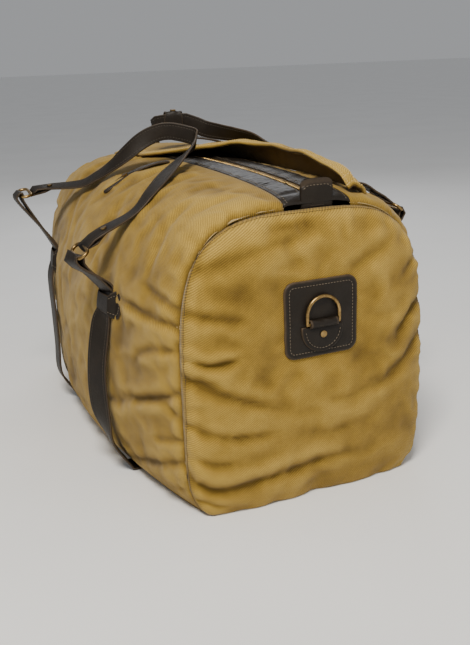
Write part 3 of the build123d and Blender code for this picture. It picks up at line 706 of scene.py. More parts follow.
for word, sign in (("near", 1), ("far", -1)):
    rings = []
    border = rounded_square(112, patch_wide, patch_high, patch_corner)
    rings_at = [(1.0, -0.0004), (1.0, 0.0012), (0.992, 0.0021), (0.975, 0.0026)]
    rings_at += [(s, 0.0027) for s in (0.94, 0.90)]
    rings_at += [(0.875, 0.00235), (0.855, 0.0022), (0.835, 0.0024)]
    rings_at += [(s, 0.0027) for s in (0.80, 0.72, 0.62, 0.5, 0.38, 0.25, 0.12, 0.002)]
    for s, lift in rings_at:
        y, z = patch_y + border[:, 0] * s, patch_z + border[:, 1] * s
        skin = end_skin(word, y, z)
        puff = 0.0006 * np.sin(y * 190 + 1) * np.cos(z * 160)
        rings.append(np.c_[skin + sign * (lift + puff * (s < 0.85)), y, z])
    P = np.stack(rings, 0)
    away = np.zeros_like(P)
    away[..., 0] = sign
    worn = np.repeat(np.array([1.2 if s > 0.99 else 0.5 if s > 0.97 else 0.0 for s, _ in rings_at])[:, None],
                     P.shape[1], 1)
    patch = grid_piece(f"leather_patch_{word}", P, away, closed=True, marks={"worn": worn})
    patch.data.materials.append(strap_leather)
    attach(patch, "bag")
    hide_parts(f"end_patch_{word}")
    line = rounded_square(260, patch_wide, patch_high, patch_corner, 0.0066)
    line = np.r_[line, line[:1]]
    y, z = patch_y + line[:, 0], patch_z + line[:, 1]
    stitches(f"patch_thread_{word}", "bag",
             [np.c_[end_skin(word, y, z) + sign * 0.0025, y, z]], pale_thread, 0.0040, 0.0029, 0.00048)

# A half-moon of the same leather holds the D-ring: its straight top is folded over the ring's
# bar, its round edge is stitched through the patch, and one brass rivet goes through the middle.
chape_z, chape_radius, bar_x, bar_z = 0.222, 0.028, 0.33925, 0.230


def old_brass():
    """Brass with patches of dark tarnish among brighter rubbed metal, spread by noise."""
    made, shader, add, join = node_tree("antique brass")
    place = add("TexCoord")
    tarnish = add("TexNoise", Scale=90.0, Detail=6.0, Roughness=0.7)
    join(place, "Object", tarnish, "Vector")
    tint = ramp_of(add, (0.30, (0.10, 0.062, 0.024)), (0.52, (0.30, 0.195, 0.075)),
                   (0.75, (0.50, 0.34, 0.14)))
    join(tarnish, "Fac", tint, "Fac")
    join(tint, "Color", shader, "Base Color")
    scratch = add("TexNoise", Scale=900.0, Detail=3.0)
    join(place, "Object", scratch, "Vector")
    bump = add("Bump", Strength=0.12, Distance=0.0002)
    join(scratch, "Fac", bump, "Height")
    join(bump, "Normal", shader, "Normal")
    dull = add("MapRange")
    dull.inputs["To Min"].default_value, dull.inputs["To Max"].default_value = 0.50, 0.26
    join(tarnish, "Fac", dull, "Value")
    join(dull, "Result", shader, "Roughness")
    shader.inputs["Metallic"].default_value = 1.0
    return made


brass = old_brass()
for word, sign in (("near", 1), ("far", -1)):
    P, worn = [], []
    face = bar_x - 0.0004
    for s, lift in ((1.0, -0.0052), (1.0, -0.0014), (0.985, -0.0006), (0.96, -0.0001), (0.90, 0.0),
                    (0.84, -0.0005), (0.80, -0.0004), (0.72, 0.0), (0.5, 0.0003), (0.25, 0.0002),
                    (0.01, 0.0002)):
        row = []
        for k in range(72):
            t = k / 71.0
            if t < 0.68:
                angle = pi + pi * t / 0.68
                y, z = chape_radius * cos(angle), chape_radius * sin(angle)
            else:
                q = (t - 0.68) / 0.32
                y, z = chape_radius * (1 - 2 * q), 0.0045
            y, z = y * s, (z + 0.008) * s - 0.008
            row.append((sign * (face + lift), patch_y + y, chape_z + z))
            if k == 0:
                worn.append([])
            worn[-1].append(1.0 if s > 0.97 else 0.0)
        P.append(row)
    P = np.array(P)
    away = np.zeros_like(P)
    away[..., 0] = sign
    chape = grid_piece(f"dring_chape_leather_{word}", P, away, closed=True, marks={"worn": worn})
    rows = []
    for k in range(20):
        a = -2.2 + 4.9 * k / 19.0
        r = 0.0050 if k < 17 else 0.0047
        y = np.linspace(-0.0185, 0.0185, 24)
        bulge = r + 0.0003 * np.sin(y * 420 + k)
        rows.append(np.c_[sign * (bar_x + bulge * np.cos(a)), patch_y + y, bar_z + bulge * np.sin(a)])
    P = np.array(rows)
    centre = P.copy()
    centre[..., 0] = sign * bar_x
    centre[..., 2] = bar_z
    worn = np.zeros(P.shape[:2])
    worn[:, :2] = 0.8
    worn[:, -2:] = 0.8
    fold = grid_piece(f"dring_fold_{word}", P, P - centre, marks={"worn": worn})
    thicken(fold, 0.0022)
    for made in (chape, fold):
        made.data.materials.append(strap_leather)
        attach(made, "bag")
    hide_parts(f"dring_chape_{word}")
    arc = np.linspace(pi * 1.04, pi * 1.96, 60)
    rim = np.c_[np.full(60, sign * (face + 0.0002)),
                patch_y + 0.0232 * np.cos(arc), chape_z + 0.0232 * np.sin(arc)]
    stitches(f"chape_thread_{word}", "bag", [rim], pale_thread, 0.0040, 0.0029, 0.00048)
for name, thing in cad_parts.items():
    if name.startswith(("dring_near", "dring_far", "chape_rivet", "ring_", "zip_slider", "zip_pull",
                        "front_handle_rivets", "back_handle_rivets", "tab_snap", "wrap_snap")):
        thing.data.materials.clear()
        thing.data.materials.append(brass)

# Two leather girth straps run under the bag and up both sides. Each end is folded round the
# lower bar of a brass ring and sewn back on itself, so the top of each run has two layers.
girth_x, girth_wide, girth_thick, keeper_z = 0.145, 0.032, 0.0030, 0.238


def strap(name, points, across, wide, thick, step=0.004, body="bag", worn_edge=0.9, taper=()):
    """A strap along a smooth run, with softened edges and a pressed line beside each of them."""
    length = np.linalg.norm(np.diff(np.array(points, float), axis=0), axis=1).sum()
    count = max(int(length / step), 12)
    both = np.c_[np.array(points, float), np.array(across, float)]
    whole = smooth_path(both, count * 3)
    whole = whole[::3]
    if np.abs(whole[-1, :3] - np.array(points[-1])).max() > 1e-6:
        whole = np.r_[whole, [np.r_[points[-1], across[-1]]]]
    p, w = whole[:, :3], whole[:, 3:]
    run = np.gradient(p, axis=0)
    run /= np.linalg.norm(run, axis=1, keepdims=True)
    w = w - run * (w * run).sum(1, keepdims=True)
    w /= np.linalg.norm(w, axis=1, keepdims=True)
    n = np.cross(run, w)
    v = np.array([-1, -0.97, -0.9, -0.8, -0.72, -0.64, -0.35, 0, 0.35, 0.64, 0.72, 0.8, 0.9, 0.97, 1])
    body_thick = np.where(np.abs(v) > 0.99, 0.35, np.where(np.abs(v) > 0.95, 0.72, 0.95))
    body_thick = np.where(np.abs(np.abs(v) - 0.72) < 0.02, 0.84, body_thick)
    body_thick = np.where(np.abs(v) < 0.5, 1.04, body_thick)
    at = np.r_[0, np.cumsum(np.linalg.norm(np.diff(p, axis=0), axis=1))]
    narrow = np.ones(len(p))
    for from_end, size in taper:
        d = at if from_end == 0 else at[-1] - at
        narrow = np.minimum(narrow, np.sqrt(np.clip(1 - np.clip(1 - d / size, 0, 1) ** 2.4, 0.02, 1)))
    profile = np.r_[np.c_[v, body_thick], np.c_[v[::-1], -body_thick[::-1]]]
    P = (p[:, None] + w[:, None] * (profile[:, 0] * wide / 2)[None, :, None] * narrow[:, None, None]
         + n[:, None] * (profile[:, 1] * thick / 2)[None, :, None])
    worn = np.broadcast_to(np.where(np.abs(profile[:, 0]) > 0.95, worn_edge, 0.0), P.shape[:2])
    piece = grid_piece(name, P, P - p[:, None], closed=True, marks={"worn": worn})
    total, ring_size = len(p), len(profile)
    mesh = bpy.data.meshes.new(name)
    faces = [list(f.vertices) for f in piece.data.polygons]
    start = list(range(ring_size))
    finish = list(range((total - 1) * ring_size, total * ring_size))
    for loop, outward in ((start, -run[0]), (finish, run[-1])):
        pts = P.reshape(-1, 3)[loop]
        turn = np.zeros(3)
        for i in range(len(pts)):
            turn += np.cross(pts[i], pts[(i + 1) % len(pts)])
        faces.append(loop if (turn * outward).sum() > 0 else loop[::-1])
    mesh.from_pydata(P.reshape(-1, 3).tolist(), [], faces)
    mark = mesh.attributes.new("worn", "FLOAT", "POINT")
    mark.data.foreach_set("value", worn.astype(np.float32).reshape(-1))
    mesh.polygons.foreach_set("use_smooth", [True] * len(mesh.polygons))
    piece.data = mesh
    mesh.materials.append(strap_leather)
    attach(piece, body)
    lines = [p + w * (side * (wide / 2 - 0.0042)) * narrow[:, None] + n * (face * thick * 0.47)
             for side in (-1, 1) for face in (-1, 1)]
    return piece, lines, (p, w, n)


front_near, front_far = np.array((0.142, -0.236, 0.303)), np.array((-0.148, -0.246, 0.342))
back_near, back_far = np.array((0.145, 0.240, 0.312)), np.array((-0.145, 0.240, 0.312))
fold_middle = 0.0039
for word, x in (("near", girth_x), ("far", -girth_x)):
    sag = 0.020 if x > 0 else 0.010
    runs = []
    for side, ring in ((-1, front_near if x > 0 else front_far), (1, back_near if x > 0 else back_far)):
        def out(z, more):
            return float(side_at(x, z)) + more
        inner = [(x, side * (out(keeper_z - 0.010, 0.0030)), keeper_z - 0.012),
                 (x, side * (out(keeper_z + 0.012, 0.0038)), keeper_z + 0.012),
                 (ring[0], side * (abs(ring[1]) - 0.0046), ring[2] - 0.012)]
        loop = [(ring[0], ring[1] + side * fold_middle * cos(a), ring[2] + fold_middle * sin(a))
                for a in (pi, 0.72 * pi, 0.5 * pi, 0.28 * pi, 0.0)]
        outer = [(ring[0], side * (abs(ring[1]) + 0.0030), ring[2] - 0.012),
                 (x, side * out(keeper_z + 0.026, 0.0095), keeper_z + 0.024),
                 (x, side * out(keeper_z, 0.0068), keeper_z),
                 (x, side * out(keeper_z - 0.030, 0.012), keeper_z - 0.030),
                 (x, side * out(0.150, sag), 0.150), (x, side * out(0.095, sag), 0.095),
                 (x, side * out(0.050, 0.013), 0.050), (x, side * out(0.022, 0.007), 0.022),
                 (x, side * out(0.008, 0.006), 0.008), (x, side * out(0.003, 0.002), 0.0021)]
        runs.append(inner + loop + outer)
    under = [(x, -0.10, 0.0017), (x, 0.0, 0.0017), (x, 0.10, 0.0017)]
    points = runs[0] + under + runs[1][::-1]
    lean = []
    for p in points:
        twist = 0.0
        if p[2] > 0.245 and p[1] < 0 and x > 0:
            twist = 0.30
        if 0.06 < p[2] < 0.21 and p[1] < 0 and x > 0:
            twist = 0.60
        lean.append((1.0, twist, 0.0))
    girth, lines, _ = strap(f"girth_leather_{word}", points, lean, girth_wide, girth_thick)
    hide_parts(f"girth_strap_{word}")
    split = []
    for line in lines:
        up, part = line[:, 2] > 0.004, []
        for point, ok in zip(line, up):
            if ok:
                part.append(point)
            elif part:
                split.append(part)
                part = []
        if part:
            split.append(part)
    stitches(f"girth_thread_{word}", "bag", [s for s in split if len(s) > 3], brown_thread)

# A keeper on each run: one small band of leather passes over the strap, and its two rounded
# ends, cut like leaves, are stitched down to the canvas on both sides of it.
for side, front_or_back in ((-1, "front"), (1, "back")):
    for word, x in (("near", girth_x), ("far", -girth_x)):
        u = np.linspace(-1, 1, 61)
        v = np.linspace(-1, 1, 21)
        reach = 0.0345
        leaf = np.sqrt(np.clip(1 - ((np.abs(u) - 0.66) / 0.34).clip(0, 1) ** 2.2, 0.0, 1))
        tall = (0.0115 + 0.0065 * ramp((np.abs(u) - 0.46) / 0.16)) * leaf
        tall = np.maximum(tall, 0.0004)
        UU, VV = np.meshgrid(u, v)
        DX, DZ = UU * reach, VV * tall[None, :]
        Xk, Zk = x + DX, keeper_z + DZ
        over = 0.0108 - 0.0090 * ramp((np.abs(DX) - 0.0165) / 0.0062)
        dome = 0.0004 * (1 - VV ** 2)
        Yk = side * (side_at(Xk, Zk) + over + dome)
        P = np.stack([Xk, Yk, Zk], 2)
        away = np.zeros_like(P)
        away[..., 1] = side
        rim = np.maximum(np.abs(VV) > 0.93, np.abs(UU) > 0.975)
        keeper = grid_piece(f"keeper_{front_or_back}_{word}", P, away, marks={"worn": 0.9 * rim})
        thicken(keeper, 0.0022)
        keeper.data.materials.append(strap_leather)
        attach(keeper, "bag")
        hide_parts(f"strap_keeper_{front_or_back}_{word}")
        lines = []
        for end in (-1, 1):
            angle = np.linspace(-2.35, 2.35, 50)
            lx = x + end * (0.0235 + 0.0078 * np.cos(angle))
            lz = keeper_z + 0.0125 * np.sin(angle)
            over = 0.0108 - 0.0090 * ramp((np.abs(lx - x) - 0.0165) / 0.0062)
            lines.append(np.c_[lx, side * (side_at(lx, lz) + over + 0.0006), lz])
        stitches(f"keeper_thread_{front_or_back}_{word}", "bag", lines, pale_thread,
                 0.0036, 0.0026, 0.00045)

# Each handle is one long strap of doubled leather. Its ends are folded round the upper bars of
# its two brass rings, and fixed with a rivet through both layers, with the short end left free.
ring_reach = 0.0156
handle_wide, handle_thick = 0.025, 0.0035


def unit(v):
    v = np.asarray(v, float)
    return v / np.linalg.norm(v)


def handle_end(ring, along, reach, inward):
    """The bar a handle end is folded round: its place, the way up the strap, and its outer side."""
    up = np.array(reach, float)
    up = unit(up - along * (up * along).sum())
    face = unit(np.cross(along, up)) * inward
    return ring + up * ring_reach, up, face


def wrapped_start(bar, up, face, free=0.036):
    """Points of a strap end from its free tip, down to the bar, round it and up again."""
    gap = 0.0037
    tip = [bar + up * d + face * g for d, g in
           ((free, 0.0042), (free * 0.72, 0.0036), (free * 0.42, 0.0034), (0.009, gap * 0.98))]
    loop = [bar + face * gap * cos(a) - up * gap * sin(a) for a in (0.0, 0.3 * pi, 0.5 * pi, 0.7 * pi, pi)]
    rest = [bar + up * 0.009 - face * 0.0030]
    return tip + loop + rest


front_along = unit(front_near - front_far)
back_along = np.array((1.0, 0.0, 0.0))
flat, edge = (1, 0, 0), (0, 0, 1)
handles = {
    "front": (front_near, front_far, front_along, (0, 0.80, 0.60), (0, 0.985, 0.17),
              [(0.132, -0.154, 0.346), (0.125, -0.127, 0.368), (0.095, -0.092, 0.387),
               (0.055, -0.054, 0.402), (0.020, -0.023, 0.412), (0.002, -0.012, 0.421),
               (-0.012, -0.024, 0.427), (-0.022, -0.041, 0.431), (-0.030, -0.059, 0.429),
               (-0.038, -0.080, 0.419), (-0.048, -0.101, 0.402), (-0.062, -0.121, 0.384),
               (-0.085, -0.139, 0.368), (-0.110, -0.160, 0.355)],
              [flat, (1, 0.2, 0), (1, 0.5, 0.1), (0.9, 0.5, 0.5), (0.4, 0.3, 0.9), (0, 0.1, 1),
               edge, edge, (0, 0.1, 1), (-0.2, 0.1, 1), (-0.5, 0, 0.8), (-0.8, 0.1, 0.5),
               (-1, 0.2, 0.35), (-1, 0.1, 0.2)]),
    "back": (back_near, back_far, back_along, (0, -0.80, 0.60), (0, -0.80, 0.60),
             [(0.130, 0.188, 0.351), (0.098, 0.156, 0.363), (0.062, 0.124, 0.387),
              (0.038, 0.098, 0.404), (0.014, 0.080, 0.415), (-0.014, 0.061, 0.420),
              (-0.040, 0.046, 0.423), (-0.058, 0.028, 0.428), (-0.066, 0.012, 0.436),
              (-0.0692, -0.0007, 0.440), (-0.0788, -0.0313, 0.440), (-0.086, -0.041, 0.436),
              (-0.097, -0.042, 0.430), (-0.106, -0.030, 0.425), (-0.112, 0.000, 0.418),
              (-0.119, 0.032, 0.412), (-0.127, 0.078, 0.401), (-0.136, 0.126, 0.382),
              (-0.142, 0.168, 0.362)],
             [flat, (1, -0.7, 0), (1, -1, 0), (1, -1, 0.3), (0.6, -0.6, 0.7), (0.35, -0.4, 0.9),
              (0.1, -0.2, 1), edge, edge, edge, edge, edge, edge, (-0.2, -0.2, 1), (-0.8, -0.1, 0.6),
              (-1, 0, 0.15), (-1, 0, 0), (-1, 0, 0), (-1, 0, 0)])}
handle_runs = {}
for word, (near, far, along, reach_near, reach_far, middle, widths) in handles.items():
    inward = -1 if word == "front" else 1
    bar_a, up_a, face_a = handle_end(near, along, reach_near, inward)
    bar_b, up_b, face_b = handle_end(far, along, reach_far, inward)
    a, b = wrapped_start(bar_a, up_a, face_a), wrapped_start(bar_b, up_b, face_b)
    a.append(near + up_a * (ring_reach + 0.0294))
    b.append(far + up_b * (ring_reach + 0.0294))
    points = a + [np.array(p) for p in middle] + b[::-1]
    across = [tuple(along)] * len(a) + widths + [tuple(-along)] * len(b)
    body = f"{word}_handle"
    piece, lines, run = strap(f"handle_leather_{word}", points, across, handle_wide, handle_thick * 0.86,
                              step=0.0034, body=body, taper=((0, 0.009), (1, 0.009)))
    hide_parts(f"{word}_handle_strap")
    stitches(f"handle_thread_{word}", body, lines, brown_thread)
    handle_runs[word] = run

# A cuff of leather gathers the grip: it is wrapped once round the back handle and closed on top
# by a brass snap, so that both handles can be held in it when the bag is carried by hand.
wrap_x, wrap_y, wrap_z = -0.074, -0.016, 0.440
wrap_long, wrap_out_y, wrap_out_z = 0.026, 0.00575, 0.0165
rows, worn = [], []
for t in np.linspace(-1, 1, 25):
    x = wrap_x + t * wrap_long / 2
    pinch = 1 + 0.05 * cos(t * 5) - 0.05 * abs(t) ** 6
    angle = np.linspace(0, 2 * pi, 48, endpoint=False)
    c, s = np.cos(angle), np.sin(angle)
    y = wrap_y + wrap_out_y * 1.12 * pinch * np.sign(c) * np.abs(c) ** 0.62
    z = wrap_z + wrap_out_z * pinch * np.sign(s) * np.abs(s) ** 0.5
    x = x + 0.0016 * np.sin(angle * 2 + 0.6) * t
    rows.append(np.c_[x + 0 * y, y, z])
    worn.append(np.full(48, 1.0 if abs(t) > 0.95 else 0.0))
P = np.array(rows)
centre = P.copy()
centre[..., 1] = wrap_y
centre[..., 2] = wrap_z
turn_cuff = np.array(Matrix.Rotation(radians(72.5), 3, "Z"))
middle_cuff = np.array((wrap_x, wrap_y, wrap_z))
P = (P - middle_cuff) @ turn_cuff.T + middle_cuff
centre = (centre - middle_cuff) @ turn_cuff.T + middle_cuff
cuff = grid_piece("grip_cuff", P, P - centre, closed=True, marks={"worn": np.array(worn)})
thicken(cuff, 0.0022)
cuff.data.materials.append(strap_leather)
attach(cuff, "back_handle")
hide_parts("handle_wrap")

# The mouth is faced with soft dark leather: one long strip sewn to each canvas edge, wrinkled
# where it follows the zipper, and the woven tape with its brass teeth is sewn underneath it.
soft_leather = bridle_leather("soft facing leather", (0.0075, 0.0055, 0.004), (0.018, 0.0135, 0.0095),
                              (0.07, 0.052, 0.034), 0.40, 0.8)
lip_half = 0.231
facing_to_zip = 0.0075


def facing(name, y0, y1, x0, x1, seed, lift=0.0):
    """A wrinkled strip of leather over the crown, with its points."""
    rows = max(int(abs(y1 - y0) / 0.0022), 6)
    cols = int((x1 - x0) / 0.0024)
    ys, xs = np.linspace(y0, y1, rows), np.linspace(x0, x1, cols)
    XX, YY = np.meshgrid(xs, ys)
    P = np.stack([XX, YY, top_at(XX, YY) + lift], 2)
    cross = soft_noise(np.dstack([XX * 2.0 + YY * 0.6, YY * 0.35, 0 * XX]), 60.0, seed, 1)
    share = (YY - y0) / (y1 - y0)
    inside = ramp(share / 0.16) * ramp((1 - share) / 0.10)
    P[..., 2] += (0.0016 * (1 - 2 * np.abs(cross)) + 0.0003 * soft_noise(P, 120.0, seed + 2, 1)) * inside
    P[..., 2] += 0.0012 * np.sin(share * pi)
    worn = np.where((share < 0.03) | (share > 0.97), 0.8, 0.0)
    away = np.zeros_like(P)
    away[..., 2] = 1
    piece = grid_piece(name, P, away, marks={"worn": worn})
    thicken(piece, 0.0016)
    piece.data.materials.append(soft_leather)
    return piece, P


tape_made, tape_shader, tape_add, tape_join = node_tree("brown zipper tape")
tape_place = tape_add("TexCoord")
tape_ribs = tape_add("TexWave", wave_type="BANDS", bands_direction="X", Scale=260.0, Distortion=0.6)
tape_join(tape_place, "Object", tape_ribs, "Vector")
tape_tint = ramp_of(tape_add, (0.2, (0.022, 0.015, 0.010)), (0.8, (0.060, 0.044, 0.030)))
tape_join(tape_ribs, "Fac", tape_tint, "Fac")
tape_join(tape_tint, "Color", tape_shader, "Base Color")
tape_bump = tape_add("Bump", Strength=0.4, Distance=0.0003)
tape_join(tape_ribs, "Fac", tape_bump, "Height")
tape_join(tape_bump, "Normal", tape_shader, "Normal")
tape_shader.inputs["Roughness"].default_value = 0.85


def teeth_maker():
    """The node tree that sets brass teeth along one edge of the tape, with named sizes."""
    tree = bpy.data.node_groups.new("Row of zipper teeth", "GeometryNodeTree")
    face = tree.interface
    face.new_socket(name="Tape Edge", in_out="INPUT", socket_type="NodeSocketGeometry")
    ids = {}
    for label, kind in (("Pitch", "NodeSocketFloat"), ("Tooth Size", "NodeSocketVector"),
                        ("Metal", "NodeSocketMaterial")):
        ids[label] = face.new_socket(name=label, in_out="INPUT", socket_type=kind).identifier
    face.new_socket(name="Teeth", in_out="OUTPUT", socket_type="NodeSocketGeometry")
    new, link = tree.nodes.new, tree.links.new
    start, end = new("NodeGroupInput"), new("NodeGroupOutput")
    curve = new("GeometryNodeMeshToCurve")
    link(start.outputs["Tape Edge"], curve.inputs["Mesh"])
    divide = new("GeometryNodeResampleCurve")
    divide.mode = "LENGTH"
    link(curve.outputs["Curve"], divide.inputs["Curve"])
    link(start.outputs["Pitch"], divide.inputs["Length"])
    block = new("GeometryNodeMeshCube")
    block.inputs["Size"].default_value = (1, 1, 1)
    round_off = new("GeometryNodeSubdivisionSurface")
    round_off.inputs["Level"].default_value = 1
    round_off.inputs["Edge Crease"].default_value = 0.55
    link(block.outputs["Mesh"], round_off.inputs["Mesh"])
    lay = new("GeometryNodeInstanceOnPoints")
    link(divide.outputs["Curve"], lay.inputs["Points"])
    link(round_off.outputs["Mesh"], lay.inputs["Instance"])
    link(start.outputs["Tooth Size"], lay.inputs["Scale"])
    real, paint = new("GeometryNodeRealizeInstances"), new("GeometryNodeSetMaterial")
    link(lay.outputs["Instances"], real.inputs["Geometry"])
    link(real.outputs["Geometry"], paint.inputs["Geometry"])
    link(start.outputs["Metal"], paint.inputs["Material"])
    link(paint.outputs["Geometry"], end.inputs["Teeth"])
    return tree, ids


teeth_tree, teeth_sizes = teeth_maker()
tooth_pitch = 0.0044
for word, side, edge in (("front", 1, mouth_front), ("back", -1, mouth_back)):
    body = f"{word}_lip"
    strip, P = facing(f"mouth_facing_{word}", edge + side * 0.0005, zip_y - side * facing_to_zip,
                      -lip_half, lip_half, 41 + side)
    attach(strip, body)
    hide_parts(f"zip_facing_{word}")
    lines = [P[2, 1:-1] + (0, 0, 0.0001), P[-3, 1:-1] + (0, 0, 0.0001)]
    stitches(f"facing_thread_{word}", body, lines, pale_thread)
    xs = np.linspace(-lip_half, lip_half, 90)
    ys = np.linspace(zip_y - side * 0.020, zip_y - side * 0.0022, 8)
    XX, YY = np.meshgrid(xs, ys)
    T = np.stack([XX, YY, top_at(XX, YY) - 0.0024], 2)
    up = np.zeros_like(T)
    up[..., 2] = 1
    tape = grid_piece(f"zipper_tape_{word}", T, up)
    thicken(tape, 0.0010)
    tape.data.materials.append(tape_made)
    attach(tape, body)
    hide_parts(f"zip_tape_{word}")
    shift = 0.0 if side > 0 else tooth_pitch / 2
    line = np.linspace(-lip_half + 0.002 + shift, lip_half - 0.004 + shift, 200)
    y = zip_y - side * 0.0013
    mesh = bpy.data.meshes.new(f"zipper_teeth_{word}")
    mesh.from_pydata([(x, y, float(top_at(x, zip_y)) - 0.0010) for x in line],
                     [(i, i + 1) for i in range(199)], [])
    teeth = bpy.data.objects.new(f"zipper_teeth_{word}", mesh)
    bpy.context.scene.collection.objects.link(teeth)
    rows = teeth.modifiers.new("teeth", "NODES")
    rows.node_group = teeth_tree
    rows[teeth_sizes["Pitch"]] = tooth_pitch
    rows[teeth_sizes["Tooth Size"]] = (0.0021, 0.0062, 0.0034)
    rows[teeth_sizes["Metal"]] = brass
    finished(teeth)
    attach(teeth, body)
    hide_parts(f"zip_teeth_{word}")

# Past the moving part of the zipper the two facings meet in one fixed piece of the same leather
# at each end, and a doubled tab of stiff leather stands up where the zipper runs out.
for word, side in (("near", 1), ("far", -1)):
    x0, x1 = sorted((side * (lip_half + 0.0015), side * (half_length - 0.0005)))
    for part, y0, y1 in (("front", mouth_front + 0.0005, zip_y - 0.0065),
                         ("back", mouth_back - 0.0005, zip_y + 0.0065)):
        strip, P = facing(f"mouth_end_{part}_{word}", y0, y1, x0, x1, 61 + side)
        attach(strip, "bag")
        if part == "front":
            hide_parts(f"mouth_gusset_{word}")
        stitches(f"mouth_end_thread_{part}_{word}", "bag",
                 [P[2, 1:-1] + (0, 0, 0.0001), P[-3, 1:-1] + (0, 0, 0.0001)], pale_thread)
    xs, ys = np.linspace(x0, x1, 30), np.linspace(zip_y - 0.009, zip_y + 0.009, 8)
    XX, YY = np.meshgrid(xs, ys)
    T = np.stack([XX, YY, top_at(XX, YY) - 0.0022], 2)
    up = np.zeros_like(T)
    up[..., 2] = 1
    tape = grid_piece(f"zipper_end_tape_{word}", T, up)
    thicken(tape, 0.0010)
    tape.data.materials.append(tape_made)
    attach(tape, "bag")
    line = np.linspace(x0 + 0.003, x1 - 0.012 if side > 0 else x1 - 0.003, 60)
    mesh = bpy.data.meshes.new(f"zipper_end_teeth_{word}")
    mesh.from_pydata([(x, zip_y, float(top_at(x, zip_y)) - 0.0008) for x in line],
                     [(i, i + 1) for i in range(59)], [])
    teeth = bpy.data.objects.new(f"zipper_end_teeth_{word}", mesh)
    bpy.context.scene.collection.objects.link(teeth)
    rows = teeth.modifiers.new("teeth", "NODES")
    rows.node_group = teeth_tree
    rows[teeth_sizes["Pitch"]] = tooth_pitch / 2
    rows[teeth_sizes["Tooth Size"]] = (0.0015, 0.0086, 0.0034)
    rows[teeth_sizes["Metal"]] = brass
    finished(teeth)
    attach(teeth, "bag")
    tab_y, tab_half = zip_y, 0.0215
    rows, worn = [], []
    for z in np.r_[np.linspace(0.352, 0.386, 18), 0.3895, 0.392, 0.3935, 0.3942]:
        t = np.linspace(0, 2 * pi, 56, endpoint=False)
        c, s = np.cos(t), np.sin(t)
        shrink = 1 - ramp((z - 0.387) / 0.0082) * 0.30
        y = tab_y + tab_half * (0.93 + 0.07 * shrink) * np.sign(s) * np.abs(s) ** 0.28
        deep = 0.0032 * shrink + 0.0005 * sin(z * 300)
        x = side * (0.3010 - 0.0016 * ramp((0.372 - z) / 0.02)) + deep * np.sign(c) * np.abs(c) ** 0.5
        droop = 0.0060 * (np.abs(y - tab_y) / tab_half) ** 5 * (z > 0.384)
        rows.append(np.c_[x, y, np.full_like(y, z) - droop])
        worn.append(np.full(56, 0.5 * (z > 0.389)))
    P = np.array(rows)
    centre = P.mean(1, keepdims=True)
    tab = grid_piece(f"zipper_end_tab_{word}", P, P - centre, closed=True, marks={"worn": np.array(worn)})
    mesh = bpy.data.meshes.new(tab.name)
    faces = [list(f.vertices) for f in tab.data.polygons]
    count = P.shape[0] * P.shape[1]
    top, low = list(range(count - 56, count)), list(range(56))
    for loop, outward in ((top, 1), (low, -1)):
        pts = P.reshape(-1, 3)[loop]
        turn = sum(np.cross(pts[i], pts[(i + 1) % 56])[2] for i in range(56))
        faces.append(loop if turn * outward > 0 else loop[::-1])
    mesh.from_pydata(P.reshape(-1, 3).tolist(), [], faces)
    mark = mesh.attributes.new("worn", "FLOAT", "POINT")
    mark.data.foreach_set("value", np.array(worn, np.float32).reshape(-1))
    mesh.polygons.foreach_set("use_smooth", [True] * len(mesh.polygons))
    tab.data = mesh
    mesh.materials.append(strap_leather)
    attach(tab, "bag")
    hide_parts(f"zip_end_tab_{word}")
    q = np.linspace(-1, 1, 40)
    row = np.c_[np.full(40, side * 0.3045), tab_y + q * 0.0175, 0.3865 - 0.0030 * np.abs(q) ** 6]
    stitches(f"end_tab_thread_{word}", "bag", [row], pale_thread)

# The storm flap is doubled canvas, sewn along the back of the mouth. Its hem is turned twice and
# stitched in two rows. It lies closed over the far half, and stands lifted over the near half.
flap_thick, flap_half = 0.0030, 0.288


def flap_lines(x):
    """Seam, middle and hem of the flap at a station."""
    opened = ramp((x + 0.140) / 0.230)
    near_end = ramp((x - 0.150) / 0.140)
    hem_y = -0.050 + 0.120 * opened
    lift = (0.025 - 0.014 * near_end) * opened
    hem_z = top_at(x, hem_y) + 0.0036 + lift
    points = [(0.094, top_at(x, 0.094) + 0.0018)]
    for share in (0.33, 0.67):
        y = 0.094 + (hem_y - 0.094) * share
        points.append((y, top_at(x, y) + 0.0120 + lift * share ** 0.7))
    return np.array(points + [(hem_y, hem_z)], float)


xs = np.linspace(-flap_half, flap_half, 176)
rows = 44
P = np.stack([np.c_[np.full(rows, x), smooth_path(flap_lines(x), rows)] for x in xs], 1)
run = np.concatenate([np.zeros((1, len(xs))),
                      np.cumsum(np.linalg.norm(np.diff(P, axis=0), axis=2), 0)], 0)
to_hem = run.max(0) - run
to_side = flap_half - np.abs(P[..., 0])
up = np.zeros_like(P)
up[..., 2] = 1
N = grid_normals(P, up)
opened = ramp((P[..., 0] + 0.10) / 0.16)
free = ramp(run / 0.03)
wave = 0.0030 * soft_noise(np.dstack([P[..., 0], P[..., 1] * 0.6, 0 * P[..., 0]]), 10.0, 71, 2)
wave += (0.0010 * soft_noise(P, 34.0, 72, 3)
         + 0.0012 * np.sin(P[..., 0] * 78 + 0.8) * opened * np.exp(-to_hem / 0.05))
near_drop = ramp((P[..., 0] - 0.262) / 0.026) ** 1.6
double = np.maximum(ramp((0.0145 - to_hem) / 0.0012), ramp((0.0125 - to_side) / 0.0012))
line_a = np.exp(-((to_hem - 0.0035) / 0.0009) ** 2) + np.exp(-((to_hem - 0.0125) / 0.0009) ** 2)
top_height = wave * free + 0.0013 * double - 0.0005 * line_a
P[..., 2] -= 0.0085 * near_drop * ramp(to_hem.max() > 0) * ramp((run - 0.004) / 0.02)
N = grid_normals(P, up)
upper = P + N * (flap_thick * 0.36 + top_height + 0.0004 * double)[..., None]
